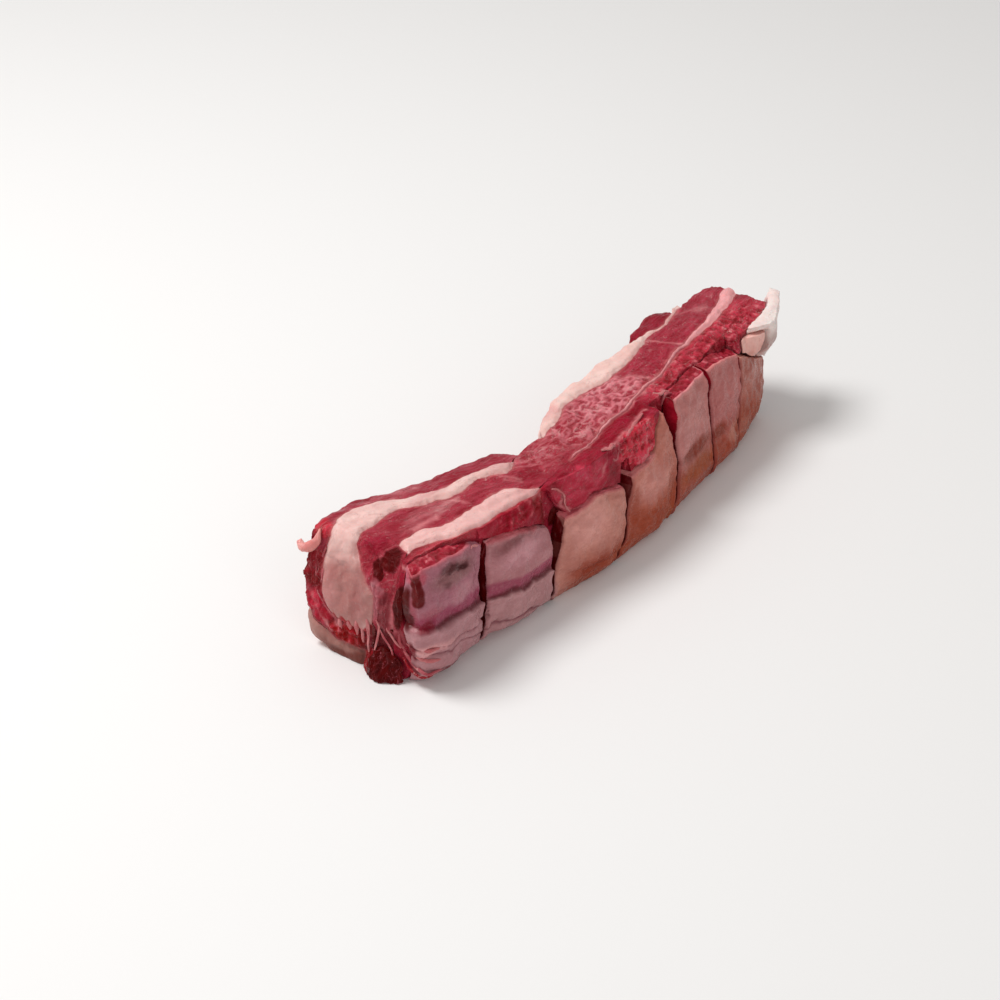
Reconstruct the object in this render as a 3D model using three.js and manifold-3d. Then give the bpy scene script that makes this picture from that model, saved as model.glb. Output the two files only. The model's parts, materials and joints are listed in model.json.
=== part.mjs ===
// A strip of raw beef ribs: a cross-cut slab of chest wall, sawn top and bottom, lying on its
// lower sawn face. Muscles and fat layers run the length of the strip; the side that lay against
// the ribs is covered by a thin skin and divided by six knife cuts into seven rib sections.
// Millimetres, +Z up. X runs from the front cut end to the back one, and -Y is the rib side.
import * as THREE from 'three';
import Module from 'manifold-3d';

const { lerp, smoothstep, clamp } = THREE.MathUtils;

// ---- Driving dimensions -------------------------------------------------------------------

const STRIP_LENGTH = 346; // along the chord of the slightly curved strip
const STRIP_HEIGHT = 70; // between the two sawn faces
const TOP_SAG = 1.2; // the meat settles this far below the saw's plane
const TOP_WAVE = 0.7; // height of each of the two waves below, given by their length / 2 pi
const TOP_RIPPLE = 17;
const TOP_SWELL = 41;
const TOP_SHOULDER = 3; // the top face rounds down by this at its outer edge
const SHOULDER_WIDTH = 9;
const GAP = 0.3; // hairline between neighbouring pieces
const STATION_STEP = 7; // spacing of the cross-sections along the strip

const SECTION_DEPTH = 9.5; // of a rib section, which is also how deep the knife cuts go
const SECTION_MIN = 2;
const SKIN_SHORT = 5; // the last section stops this far before the back cut
const SECTION_BULGE = 2.4; // each section swells between its cuts
const SECTION_RIM = 1.3; // its top edge is rounded by this
const SECTION_LEVELS = [0, 0.05, 0.13, 0.25, 0.4, 0.56, 0.72, 0.88, 1]; // shares of its height
const SECTION_STEPS = 8; // along it
const MUSCLE_SETBACK = 1.6; // bare muscle above a section lies this far behind the skin
const MUSCLE_MIN = 2.2; // thinnest muscle left between a section and the inner fat
const BACK_BLEND = 2; // rounds the change from one of those two limits to the other
const LEAN_FLOOR = 8; // the rib side stands on RIB_FOOT at this height
const FOOT_HEIGHT = 12; // and below this one it rounds in to what it lies on

const FAT_FLOOR = 21; // the outer fat stops here, where the outer muscle turns in beneath it
const TURN_HEIGHT = 34; // the outer muscle starts its turn here
const TURN_INSET = 9;
const OUTER_MUSCLE_MIN = 3; // thickness of the outer muscle where it ends, at the back
const FAT_WEDGE = 8; // the inner fat thins downwards by up to this
const EDGE_FAT = 8.5; // thickness of the fat along the lower outer edge
const EDGE_RADIUS = 19; // of that rounded edge
const SIDE_BULGE = 1.5;

const BACK_LEAN = 10; // the back cut leans out by this from its foot to its top
const BACK_LEAN_START = 296;
const FRONT_LEAN_REACH = 55; // the front cut's lean fades out over this length
const FRONT_LEAN_CURVE = 1.6; // power by which that lean grows with height
const CORNER_INSET = 9; // the front cut's lower corner on the rib side is rounded in by this
const CORNER_SIZE = 15;
const SLAB_SPREAD = 17; // at the front the outer fat spreads inward over the muscle's end
const SLAB_REACH = 34;
const SLAB_LEVELS = [46, 56, 66]; // between the first and last of these the spread fades

// How far the rib side leans in up to its top edge, and how far its foot is rounded in, along x.
const FACE_LEAN = [[285, 8], [303, 6], [320, 4], [343, 4.3], [360, 7]];
const FOOT_INSET = [[0, 11], [52, 11], [75, 8.5], [95, 6], [120, 5]];

// Lines across the sawn top face, each a list of [x, y] that a smooth curve joins.
const RIB_FOOT = [
  [0, -3], [20, -5], [50, -5], [75, -9], [100, -10], [120, -13], [145, -17], [190, -18],
  [215, -16], [250, -12], [280, -10.5], [303, -7], [335, 2], [358, 8],
];
const OUTER_EDGE = [
  [0, 75], [12, 77], [36, 76], [60, 67], [80, 58], [100, 52], [118, 44.5], [134, 38.5],
  [150, 40], [168, 46], [190, 52], [230, 54.5], [262, 54], [290, 60], [303, 61], [315, 57],
  [332, 55], [350, 53],
];
const OUTER_FAT_FRONT_OUT = [
  [0, 66], [7, 69], [22, 69.5], [33, 65], [45, 61.5], [53, 55], [62, 51.5], [70, 45],
  [80, 41.5], [90, 41], [98, 36.5], [107, 33.5], [113, 31], [118, 28],
];
const OUTER_FAT_FRONT_IN = [
  [0, 49], [10, 50], [25, 50], [43, 49.5], [51, 44], [58, 38], [66, 36.5], [71, 33],
  [80, 31.5], [91, 31.5], [99, 27.5], [106, 22.5], [113, 23.5], [118, 27],
];
const OUTER_FAT_BACK_OUT = [
  [148, 30.5], [156, 35], [165, 39.5], [173, 44], [185, 47], [200, 48.3], [230, 48.5],
  [250, 46.8], [264, 47.5], [275, 49], [284, 47.5], [293, 46.8], [302, 48.5], [309, 51],
  [316, 53],
];
const OUTER_FAT_BACK_THICKNESS = [
  [148, 1], [158, 6], [168, 8.5], [190, 8.5], [203, 9], [218, 12], [232, 12], [248, 9],
  [264, 6.5], [276, 4.2], [287, 2.4], [300, 2.4], [316, 2.6],
];
const INNER_FAT_FRONT_OUT = [
  [8, 19.5], [11, 25], [18, 29.5], [28, 30], [38, 28.5], [46, 22], [54, 18], [70, 17.5],
  [84, 15.5], [94, 13], [100, 6.5], [105, 1.2],
];
const INNER_FAT_FRONT_IN = [
  [8, 18.5], [16, 19], [28, 15.5], [36, 11.5], [46, 7], [60, 5], [75, 3.5], [88, 2],
  [98, 0], [105, 0.2],
];
const INNER_FAT_BACK_IN = [
  [136, 3], [150, 3.4], [165, 6], [180, 8.6], [200, 9], [215, 11], [230, 13.2], [250, 16],
  [270, 19.8], [290, 21.4], [303, 21.6], [315, 23], [325, 25.5], [337, 29], [350, 33],
];
const INNER_FAT_BACK_THICKNESS = [
  [136, 0.9], [146, 2.2], [180, 2.4], [250, 2.6], [275, 3], [292, 3.6], [303, 5], [315, 6.5],
  [330, 7.6], [350, 8.6],
];
// Where no fat lies between two muscles, they meet on these lines.
const OUTER_SEAM = [[118, 27.5], [126, 30.5], [134, 32], [142, 31], [148, 30]];
const INNER_SEAM = [[105, 0.7], [114, 1.5], [125, 3], [136, 3.4]];

// Height of the rib sections' top edge along the strip; its jumps lie in the cuts.
const SECTION_TOP = [
  [0, 68.5], [16, 68.5], [33, 66.5], [53, 61.5], [57, 60], [75, 57], [87, 54], [104, 47],
  [118, 45.5], [131, 47.5], [143, 50], [163, 45], [166, 44], [175, 46], [180, 48], [187, 47.5],
  [195, 50], [200, 56], [205, 62], [211, 67], [224, 68], [262, 68.5], [277, 67.5], [298, 62],
  [300, 59], [308, 56.5], [320, 49], [325, 46.5], [345, 37], [360, 35],
];
// How high the inner muscle is cut away in front: to the section's top, or right through.
const CUT_THROUGH = 80;
const CLEARED_TO = [
  [-20, CUT_THROUGH], [53.4, CUT_THROUGH], [54, 62.5], [58, 60.6], [75, 57.8], [87, 54.8],
  [103.2, 48.2], [103.8, 67], [109, 66], [119, 47], [131, 48.3], [143, 50.8], [163, 45.8],
  [165.6, 45], [166.2, 57], [174.2, 57], [174.8, 46.9], [180, 48.8], [187, 48.3], [195, 50.8],
  [200, 56.8], [205, 62.8], [209, 66.6], [209.6, CUT_THROUGH], [299.4, CUT_THROUGH],
  [300, 60], [308, 57.3], [320, 49.8], [325, 47.3], [345, 37.8], [360, 35.8],
];
const CLEARED_STEPS = 12; // up the height of what is cleared
// The outer muscle reaches the top face at the front and near the back, and dips between.
const OUTER_MUSCLE_TOP = [
  [0, 70], [118, 70], [127, 67], [139, 58], [152, 46], [262, 46], [277, 70], [306, 70],
  [318, 50], [360, 48],
];
// How far the top of the front cut leans back, across the strip: the fat slab most of all.
const FRONT_LEAN = [[-6, 2], [8, 3], [18, 9], [30, 6], [43, 7], [52, 14], [66, 15], [78, 6]];

// Knife cuts: x of the wall in front of each and of the wall behind it, by [height, x].
const CUTS = [
  {
    front: [[5, 43.6], [20, 47.8], [35, 49.2], [60, 53]],
    back: [[5, 46.8], [20, 50.8], [40, 55], [60, 57.6]],
  },
  {
    front: [[5, 100], [16, 103], [60, 104]],
    back: [[5, 103.2], [22, 107], [34, 113], [46, 118], [60, 121]],
  },
  {
    front: [[4, 152.5], [8, 156], [20, 162], [32, 165], [60, 166.5]],
    back: [[4, 155.4], [8, 158.6], [20, 164.6], [32, 168], [42, 173], [60, 175]],
  },
  {
    front: [[5, 211], [14, 213.4], [30, 218.2], [48, 216.2], [56, 212], [66, 211]],
    back: [[5, 213], [14, 215.2], [30, 220], [46, 218.8], [50, 221.8], [56, 224], [66, 225]],
  },
  { front: [[5, 260.2], [60, 260]], back: [[5, 261.8], [60, 262.2]] },
  { front: [[5, 291.6], [20, 293.2], [60, 298]], back: [[5, 292.8], [20, 294.4], [60, 299.8]] },
];
const RIM_HEIGHT = 60; // a section's top edge is looked up where its wall stands at this height

// Two white lumps of fat cap the back corner of the rib side, one stepped behind the other. Each
// has its underside's height and the y that it swells out to, along x.
const LOWER_LUMP = {
  floor: [[304, 58.4], [308, 57.1], [320, 49.6], [321.4, 48.9]],
  swell: [[304, 1], [309, -1], [313, -3.2], [318, -4.4], [321.4, -3.8]],
  top: 66,
};
const UPPER_LUMP = {
  floor: [[312.5, 66.8], [322, 66.6], [323, 48.2], [326, 46.8], [345, 37.6], [357, 42]],
  swell: [[312.5, 0], [317, -4], [325, -7.2], [335, -2.2], [345, 3], [357, 9.4]],
  top: 70.5,
};
const LUMP_PROFILE = [[0, 0.25], [0.3, 0.8], [0.8, 0.96], [1, 1]]; // share of height, of swell
const LUMP_BACK = 0.6; // room between a lump and the muscle that it lies on
const LUMP_STEP = 5;

// A dark flap of meat lies against the foot of the front cut: how far it reaches across and up,
// its thickness at the foot and at the tip, and what is left of each at its two sides.
const FLAP = { from: 11, to: 37, height: 18, foot: 8.5, tip: 1.2, sideHeight: 0.5, sideFoot: 0.2 };

// A curl of pink fat stands off the front cut's upper corner: y and z along it.
const CURL = {
  path: [[71.8, 67.3], [71.1, 65.2], [71.3, 61.6], [73.9, 58.4], [77.8, 58.1], [80.4, 60.5]],
  thickness: 3.8,
};
const CURL_END = 0.4; // share of that thickness at its two ends
const CURL_STANDOFF = 1.75; // its middle is this many half thicknesses in front of the cut

// ---- Helpers ------------------------------------------------------------------------------

/** Smooth curve through [x, value] points that never overshoots them. */
function curve(points) {
  const slope = points.slice(1).map((p, i) => (p[1] - points[i][1]) / (p[0] - points[i][0]));
  const tangent = points.map((p, i) => {
    const before = slope[Math.max(i - 1, 0)];
    const after = slope[Math.min(i, slope.length - 1)];
    return before * after <= 0 ? 0 : (2 * before * after) / (before + after);
  });
  const last = points.length - 1;
  return (x) => {
    if (x <= points[0][0]) return points[0][1];
    if (x >= points[last][0]) return points[last][1];
    const i = points.findIndex((p) => p[0] > x) - 1;
    const width = points[i + 1][0] - points[i][0];
    const t = (x - points[i][0]) / width;
    const middle = lerp(points[i][1], points[i + 1][1], t * t * (3 - 2 * t));
    const leaving = t * (1 - t) ** 2 * tangent[i] * width;
    const arriving = t * t * (t - 1) * tangent[i + 1] * width;
    return middle + leaving + arriving;
  };
}

/** Straight lines through [x, value] points. */
function polyline(points) {
  const last = points.length - 1;
  return (x) => {
    if (x >= points[last][0]) return points[last][1];
    const i = Math.max(1, points.findIndex((p) => p[0] > x));
    const [x0, a] = points[i - 1];
    const [x1, b] = points[i];
    return lerp(a, b, clamp((x - x0) / (x1 - x0), 0, 1));
  };
}

/** 0 at either end of a span from 0 to 1, and close to 1 over most of it. */
function pillow(u) {
  return 1 - (2 * u - 1) ** 4;
}

/** Values from start to end in equal steps no longer than the given one. */
function stations(start, end, step = STATION_STEP) {
  const count = Math.ceil((end - start) / step);
  return Array.from({ length: count + 1 }, (_, i) => lerp(start, end, i / count));
}

/** Closed solid over a block of grid points; place(i, j, k) runs along, outward and up. */
function latticeSolid(ni, nj, nk, place) {
  const index = new Map();
  const positions = [];
  const triangles = [];
  const corner = (i, j, k) => {
    const key = (i * (nj + 1) + j) * (nk + 1) + k;
    if (!index.has(key)) {
      index.set(key, positions.length / 3);
      positions.push(...place(i, j, k));
    }
    return index.get(key);
  };
  const quad = (a, b, c, d) => triangles.push(a, b, c, a, c, d);
  for (let k = 0; k < nk; k++) {
    for (let j = 0; j < nj; j++) {
      quad(corner(0, j, k), corner(0, j, k + 1), corner(0, j + 1, k + 1), corner(0, j + 1, k));
      quad(corner(ni, j, k), corner(ni, j + 1, k), corner(ni, j + 1, k + 1), corner(ni, j, k + 1));
    }
    for (let i = 0; i < ni; i++) {
      quad(corner(i, 0, k), corner(i + 1, 0, k), corner(i + 1, 0, k + 1), corner(i, 0, k + 1));
      quad(corner(i, nj, k), corner(i, nj, k + 1), corner(i + 1, nj, k + 1), corner(i + 1, nj, k));
    }
  }
  for (let i = 0; i < ni; i++) {
    for (let j = 0; j < nj; j++) {
      quad(corner(i, j, 0), corner(i, j + 1, 0), corner(i + 1, j + 1, 0), corner(i + 1, j, 0));
      quad(corner(i, j, nk), corner(i + 1, j, nk), corner(i + 1, j + 1, nk), corner(i, j + 1, nk));
    }
  }
  const geometry = new THREE.BufferGeometry();
  geometry.setAttribute('position', new THREE.Float32BufferAttribute(positions, 3));
  geometry.setIndex(triangles);
  return geometry;
}

const wasm = await Module();
wasm.setup();

/** What is left of one closed geometry after another is cut away. */
function cutAway(base, tool) {
  const [solid, cutter] = [base, tool].map((geometry) => {
    const vertProperties = new Float32Array(geometry.attributes.position.array);
    const triVerts = new Uint32Array(geometry.index.array);
    return new wasm.Manifold(new wasm.Mesh({ numProp: 3, vertProperties, triVerts }));
  });
  const mesh = solid.subtract(cutter).getMesh();
  const geometry = new THREE.BufferGeometry();
  geometry.setAttribute('position', new THREE.Float32BufferAttribute(mesh.vertProperties, 3));
  geometry.setIndex([...mesh.triVerts]);
  return geometry;
}

// ---- Surfaces of the strip ----------------------------------------------------------------

const ribFoot = curve(RIB_FOOT);
const outerEdge = curve(OUTER_EDGE);
const outerFatFrontOut = curve(OUTER_FAT_FRONT_OUT);
const outerFatFrontIn = curve(OUTER_FAT_FRONT_IN);
const outerFatBackOut = curve(OUTER_FAT_BACK_OUT);
const outerFatBackThickness = curve(OUTER_FAT_BACK_THICKNESS);
const innerFatFrontOut = curve(INNER_FAT_FRONT_OUT);
const innerFatFrontIn = curve(INNER_FAT_FRONT_IN);
const innerFatBackIn = curve(INNER_FAT_BACK_IN);
const innerFatBackThickness = curve(INNER_FAT_BACK_THICKNESS);
const outerSeam = curve(OUTER_SEAM);
const innerSeam = curve(INNER_SEAM);
const sectionTop = polyline(SECTION_TOP);
const clearedTo = polyline(CLEARED_TO);
const outerMuscleTop = curve(OUTER_MUSCLE_TOP);
const frontLean = curve(FRONT_LEAN);
const faceLean = curve(FACE_LEAN);
const footInset = curve(FOOT_INSET);

const startOf = (table) => table[0][0];
const endOf = (table) => table[table.length - 1][0];
const OUTER_FAT_FRONT_END = endOf(OUTER_FAT_FRONT_OUT);
const OUTER_FAT_BACK_START = startOf(OUTER_FAT_BACK_OUT);
const OUTER_FAT_BACK_END = endOf(OUTER_FAT_BACK_OUT);
const INNER_FAT_FRONT_START = startOf(INNER_FAT_FRONT_OUT);
const INNER_FAT_FRONT_END = endOf(INNER_FAT_FRONT_OUT);
const INNER_FAT_BACK_START = startOf(INNER_FAT_BACK_IN);

/** Both cut ends lean: the front one back, by how much depends on y, and the back one out. */
function settledX(x, y, z) {
  const upper = clamp((z - TURN_HEIGHT) / (STRIP_HEIGHT - TURN_HEIGHT), 0, 1);
  const front = frontLean(y) * upper ** FRONT_LEAN_CURVE;
  const corner = CORNER_INSET * Math.max(0, 1 - z / CORNER_SIZE) ** 2;
  const near = Math.max(0, 1 - x / FRONT_LEAN_REACH);
  const rounded = corner * (1 - smoothstep(y, 0, CORNER_SIZE));
  const tail = smoothstep(x, BACK_LEAN_START, STRIP_LENGTH);
  return x + (front + rounded) * near + BACK_LEAN * tail * (z / STRIP_HEIGHT - 1 / 2);
}

/** The leaning plane of the rib side: its y at a height. */
function ribPlane(x, z) {
  return ribFoot(x) + (faceLean(x) * (z - LEAN_FLOOR)) / (STRIP_HEIGHT - LEAN_FLOOR);
}

/** Rib side of the strip, which rounds in from that plane at the foot. */
function ribFace(x, z) {
  return ribPlane(x, z) + footInset(x) * Math.max(0, 1 - z / FOOT_HEIGHT) ** 2;
}

/** Height of the sawn top face: a little uneven, and lower towards the outer edge. */
function topFace(x, y) {
  const short = Math.sin(x / TOP_RIPPLE + (2 * y) / TOP_RIPPLE);
  const long = Math.sin(x / TOP_SWELL - (3 * y) / TOP_SWELL + 1);
  const shoulder = smoothstep(y, outerEdge(x) - SHOULDER_WIDTH, outerEdge(x) + 2);
  return STRIP_HEIGHT - TOP_SAG + TOP_WAVE * (short + long) - TOP_SHOULDER * shoulder;
}

/** Inner border of the outer muscle, on its side of any fat. */
function outerIn(x) {
  if (x <= OUTER_FAT_FRONT_END) return outerFatFrontOut(x);
  if (x < OUTER_FAT_BACK_START) return outerSeam(x);
  const behindFat = x <= OUTER_FAT_BACK_END ? outerFatBackOut(x) : Infinity;
  return Math.min(behindFat, outerEdge(x) - OUTER_MUSCLE_MIN);
}

/** Outer border of the middle muscle, on its side of any fat. */
function middleOut(x, z) {
  if (x <= OUTER_FAT_FRONT_END) {
    const near = 1 - smoothstep(x, 0, SLAB_REACH);
    const low = 1 - smoothstep(z, SLAB_LEVELS[0], SLAB_LEVELS[2]);
    return outerFatFrontIn(x) - SLAB_SPREAD * near * low;
  }
  if (x < OUTER_FAT_BACK_START) return outerSeam(x);
  return x <= OUTER_FAT_BACK_END ? outerIn(x) - outerFatBackThickness(x) : outerIn(x);
}

/** Inner border of the middle muscle, on its side of any fat. */
function middleIn(x) {
  if (x < INNER_FAT_FRONT_START) return innerFatFrontIn(x);
  if (x <= INNER_FAT_FRONT_END) return innerFatFrontOut(x);
  if (x < INNER_FAT_BACK_START) return innerSeam(x);
  return innerFatBackIn(x) + innerFatBackThickness(x);
}

/** Outer border of the inner muscle: the front fat beside it is a wedge that thins downwards. */
function innerOut(x, z) {
  if (x > INNER_FAT_FRONT_END) return x < INNER_FAT_BACK_START ? innerSeam(x) : innerFatBackIn(x);
  const wedge = Math.min(FAT_WEDGE, (middleIn(x) - innerFatFrontIn(x)) / 2);
  return innerFatFrontIn(x) + wedge * (1 - z / STRIP_HEIGHT);
}

/** Back of the rib sections, which is also how deep the knife went. */
function sectionBack(x, z) {
  const deep = (ribPlane(x, z) + ribFace(x, z)) / 2 + SECTION_DEPTH;
  const shallow = innerOut(x, z) - MUSCLE_MIN;
  return (deep + shallow - Math.hypot(deep - shallow, BACK_BLEND)) / 2;
}

/** How far the outer muscle's inner side has turned in under the fat at a height. */
function turnInset(x, z) {
  const most = Math.min(TURN_INSET, (outerIn(x) - middleOut(x, 0)) / 2);
  return most * clamp((TURN_HEIGHT - z) / (TURN_HEIGHT - FAT_FLOOR), 0, 1);
}

// ---- Layers that run along the strip ------------------------------------------------------

/** Cross-sections shared by all long layers, so that neighbours meet facet to facet. */
function layerStations(start, end) {
  const breaks = [
    0, INNER_FAT_FRONT_START, INNER_FAT_FRONT_END, OUTER_FAT_FRONT_END, INNER_FAT_BACK_START,
    OUTER_FAT_BACK_START, OUTER_FAT_BACK_END, STRIP_LENGTH,
  ];
  const all = breaks.slice(1).flatMap((stop, i) => stations(breaks[i], stop).slice(i ? 1 : 0));
  return all.filter((x) => x >= start && x <= end);
}

/** A layer that stands on edge between two border surfaces, from a floor up to the top face. */
function uprightLayer({ start = 0, end = STRIP_LENGTH, levels, innerY, outerY }) {
  const xs = layerStations(start, end);
  return latticeSolid(xs.length - 1, 1, levels.length, (i, j, k) => {
    const level = k < levels.length ? levels[k] : STRIP_HEIGHT;
    const border = j ? outerY(xs[i], level) : innerY(xs[i], level);
    const x = settledX(xs[i], border, level);
    const y = border + (j ? -GAP / 2 : GAP / 2);
    return [x, y, k < levels.length ? level : topFace(x, border)];
  });
}

/** The thick white fat between the outer and the middle muscle, in two stretches. */
function outerFat(start, end) {
  return uprightLayer({
    start,
    end,
    levels: [FAT_FLOOR, TURN_HEIGHT, ...SLAB_LEVELS],
    innerY: middleOut,
    outerY: (x, z) => outerIn(x) - turnInset(x, z),
  });
}

function middleMuscle() {
  const levels = [0, FAT_FLOOR, TURN_HEIGHT, ...SLAB_LEVELS];
  return uprightLayer({ levels, innerY: middleIn, outerY: middleOut });
}

/** The fat between the middle and the inner muscle: a wedge in front, a thin seam behind. */
function innerFat(start, end) {
  const levels = [0, TURN_HEIGHT, ...SLAB_LEVELS];
  return uprightLayer({ start, end, levels, innerY: innerOut, outerY: middleIn });
}

/** The muscle behind and above the rib sections, cleared to make room for them. */
function innerMuscle() {
  const blank = uprightLayer({
    levels: [0, TURN_HEIGHT, ...SLAB_LEVELS],
    innerY: (x, z) => ribPlane(x, z) + MUSCLE_SETBACK,
    outerY: innerOut,
  });
  const room = 3 * GAP;
  const clearX = CLEARED_TO.flatMap(([x], i) => {
    const next = CLEARED_TO[i + 1];
    return next ? stations(x, next[0]).slice(0, -1) : [x];
  });
  const cleared = latticeSolid(clearX.length - 1, 1, CLEARED_STEPS, (i, j, k) => {
    const z = lerp(-room, clearedTo(clearX[i]), k / CLEARED_STEPS);
    const y = j ? sectionBack(clearX[i], z) + room : ribPlane(clearX[i], z) - SECTION_DEPTH;
    return [settledX(clearX[i], y, z), y, z];
  });
  return cutAway(blank, cleared);
}

/** Where the pale fat of the lower outer edge stops under the strip, and where it starts to round. */
function edgeFatInner(x) {
  const end = middleOut(x, 0) + GAP / 2;
  return [end, Math.max(end + 1, outerEdge(x) - EDGE_RADIUS)];
}

/** The outer muscle: down the outer side, round the lower edge and in under the fat. */
function outerMuscle() {
  const xs = layerStations(0, STRIP_LENGTH);
  const heights = [TURN_HEIGHT, ...SLAB_LEVELS, STRIP_HEIGHT];
  const rises = heights.map((z) => (z - TURN_HEIGHT) / (STRIP_HEIGHT - TURN_HEIGHT));
  const bulges = [-EDGE_FAT / 2, 0, SIDE_BULGE, SIDE_BULGE, 0];
  const crest = EDGE_RADIUS + 2; // the fat of the lower edge ends just below this height
  return latticeSolid(xs.length - 1, 1, heights.length + 1, (i, j, k) => {
    const x = xs[i];
    const bed = edgeFatInner(x);
    const inner = outerIn(x) + GAP / 2;
    const under = [bed[0], Math.max(bed[0] + 1, inner - turnInset(x, FAT_FLOOR))];
    if (k < 2) {
      const y = j ? bed[k] : under[k];
      const z = j ? EDGE_FAT + GAP / 2 : FAT_FLOOR - GAP;
      return [settledX(x, y, z), y, z];
    }
    const n = k - 2;
    const top = outerMuscleTop(x) - (j ? TOP_SHOULDER : 0);
    const sideLevel = n ? lerp(crest, top, (n - 1) / (heights.length - 2)) : crest - EDGE_FAT / 2;
    const level = j ? sideLevel : lerp(TURN_HEIGHT, top, rises[n]);
    const y = j ? outerEdge(x) + bulges[n] : inner;
    const settled = settledX(x, y, level);
    return [settled, y, rises[n] === 1 ? Math.min(level, topFace(settled, y)) : level];
  });
}

/** Pale fat along the strip's rounded lower outer edge. */
function lowerEdgeFat() {
  const xs = layerStations(0, STRIP_LENGTH);
  return latticeSolid(xs.length - 1, 1, 3, (i, j, k) => {
    const side = outerEdge(xs[i]);
    const [end, turn] = edgeFatInner(xs[i]);
    const inside = [
      [end, EDGE_FAT - GAP / 2],
      [turn + GAP, EDGE_FAT - GAP / 2],
      [side - EDGE_FAT / 2 + GAP, EDGE_RADIUS + 2 - EDGE_FAT / 2 - 2 * GAP],
      [side - 1, EDGE_RADIUS + 1 - 2 * GAP],
    ];
    const outside = [
      [end, 0], [turn, 0], [side - EDGE_RADIUS / 5, EDGE_RADIUS / 3], [side, EDGE_RADIUS - GAP],
    ];
    const [y, z] = (j ? outside : inside)[k];
    return [settledX(xs[i], y, z), y, z];
  });
}

// ---- Rib side -----------------------------------------------------------------------------

const cutWalls = CUTS.map(({ front, back }) => [polyline(front), polyline(back)]);

/** One rib section between two cuts: a skin-covered pad that swells out between them. */
function ribSection(number) {
  const start = number > 0 ? cutWalls[number - 1][1] : () => 0;
  const end = number < CUTS.length ? cutWalls[number][0] : () => STRIP_LENGTH - SKIN_SHORT;
  const levels = SECTION_LEVELS.length - 1;
  return latticeSolid(SECTION_STEPS, 1, levels, (i, j, k) => {
    const u = i / SECTION_STEPS;
    const top = sectionTop(lerp(start(RIM_HEIGHT), end(RIM_HEIGHT), u));
    const z = top * SECTION_LEVELS[k];
    const x = lerp(start(z), end(z), u);
    const swell = SECTION_BULGE * pillow(u) * Math.sin(Math.PI * SECTION_LEVELS[k]);
    const rim = k === levels ? SECTION_RIM : 0;
    const back = sectionBack(x, z);
    const y = j ? back : Math.min(ribFace(x, z) - swell + rim, back - SECTION_MIN);
    return [settledX(x, y, z), y, z - (j ? 0 : rim)];
  });
}

/** A lump of fat on the back corner: it lies on the muscle and hangs over a section's top. */
function fatLump({ floor, swell, top }) {
  const [underside, outward] = [polyline(floor), curve(swell)];
  const [share, swelling] = [0, 1].map((n) => LUMP_PROFILE.map((point) => point[n]));
  const xs = floor.flatMap(([x], i) => (i ? stations(floor[i - 1][0], x, LUMP_STEP).slice(1) : x));
  return latticeSolid(xs.length - 1, 1, share.length - 1, (i, j, k) => {
    const z = lerp(underside(xs[i]), top, share[k]);
    const back = ribPlane(xs[i], z) + MUSCLE_SETBACK - LUMP_BACK;
    const y = j ? back : Math.min(lerp(back, outward(xs[i]), swelling[k]), back - GAP);
    const past = Math.max(0, xs[i] - STRIP_LENGTH);
    return [settledX(xs[i] - past, y, z) + past, y, z];
  });
}

// ---- Front end ----------------------------------------------------------------------------

/** Dark meat that hangs from the front cut and spreads on what the strip lies on. */
function frontFlap() {
  const across = 8;
  const up = 4;
  return latticeSolid(1, across, up, (i, j, k) => {
    const middle = Math.sin((Math.PI * j) / across);
    const y = lerp(FLAP.from, FLAP.to, j / across);
    const z = ((FLAP.height * k) / up) * lerp(FLAP.sideHeight, 1, middle);
    const thick = lerp(FLAP.foot, FLAP.tip, k / up) * lerp(FLAP.sideFoot, 1, middle);
    const back = Math.min(0, settledX(0, y, z)) - GAP;
    return [i ? back : back - thick, y, z];
  });
}

/** A curl of pink fat that stands off the upper corner of the front cut. */
function fatCurl() {
  const steps = 8;
  const route = new THREE.SplineCurve(CURL.path.map(([y, z]) => new THREE.Vector2(y, z)));
  const round = [-1, 0, 1];
  return latticeSolid(steps, 2, 2, (i, j, k) => {
    const at = route.getPoint(i / steps);
    const along = route.getTangent(i / steps);
    const girth = (CURL.thickness / 2) * lerp(CURL_END, 1, Math.sin((Math.PI * i) / steps));
    const square = Math.hypot(round[j], round[k]) || 1;
    const forward = (girth * round[j]) / square;
    const sideways = (girth * round[k]) / square;
    const x = settledX(0, at.x, at.y) - CURL_STANDOFF * girth - GAP;
    return [x - forward, at.x - along.y * sideways, at.y + along.x * sideways];
  });
}

// ---- Assembly -----------------------------------------------------------------------------

const FINISH = {
  muscle: { color: 0x8a2438, roughness: 0.42 },
  outerMuscle: { color: 0x9a3a4a, roughness: 0.45 },
  darkMuscle: { color: 0x5e1420, roughness: 0.4 },
  fat: { color: 0xe9cbc2, roughness: 0.5 },
  skin: { color: 0xa4777a, roughness: 0.35 },
};

const strip = new THREE.Group();

function add(name, geometry, finish) {
  geometry.computeVertexNormals();
  const material = new THREE.MeshStandardMaterial({ ...finish, metalness: 0 });
  const mesh = new THREE.Mesh(geometry, material);
  mesh.name = name;
  strip.add(mesh);
}

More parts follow.
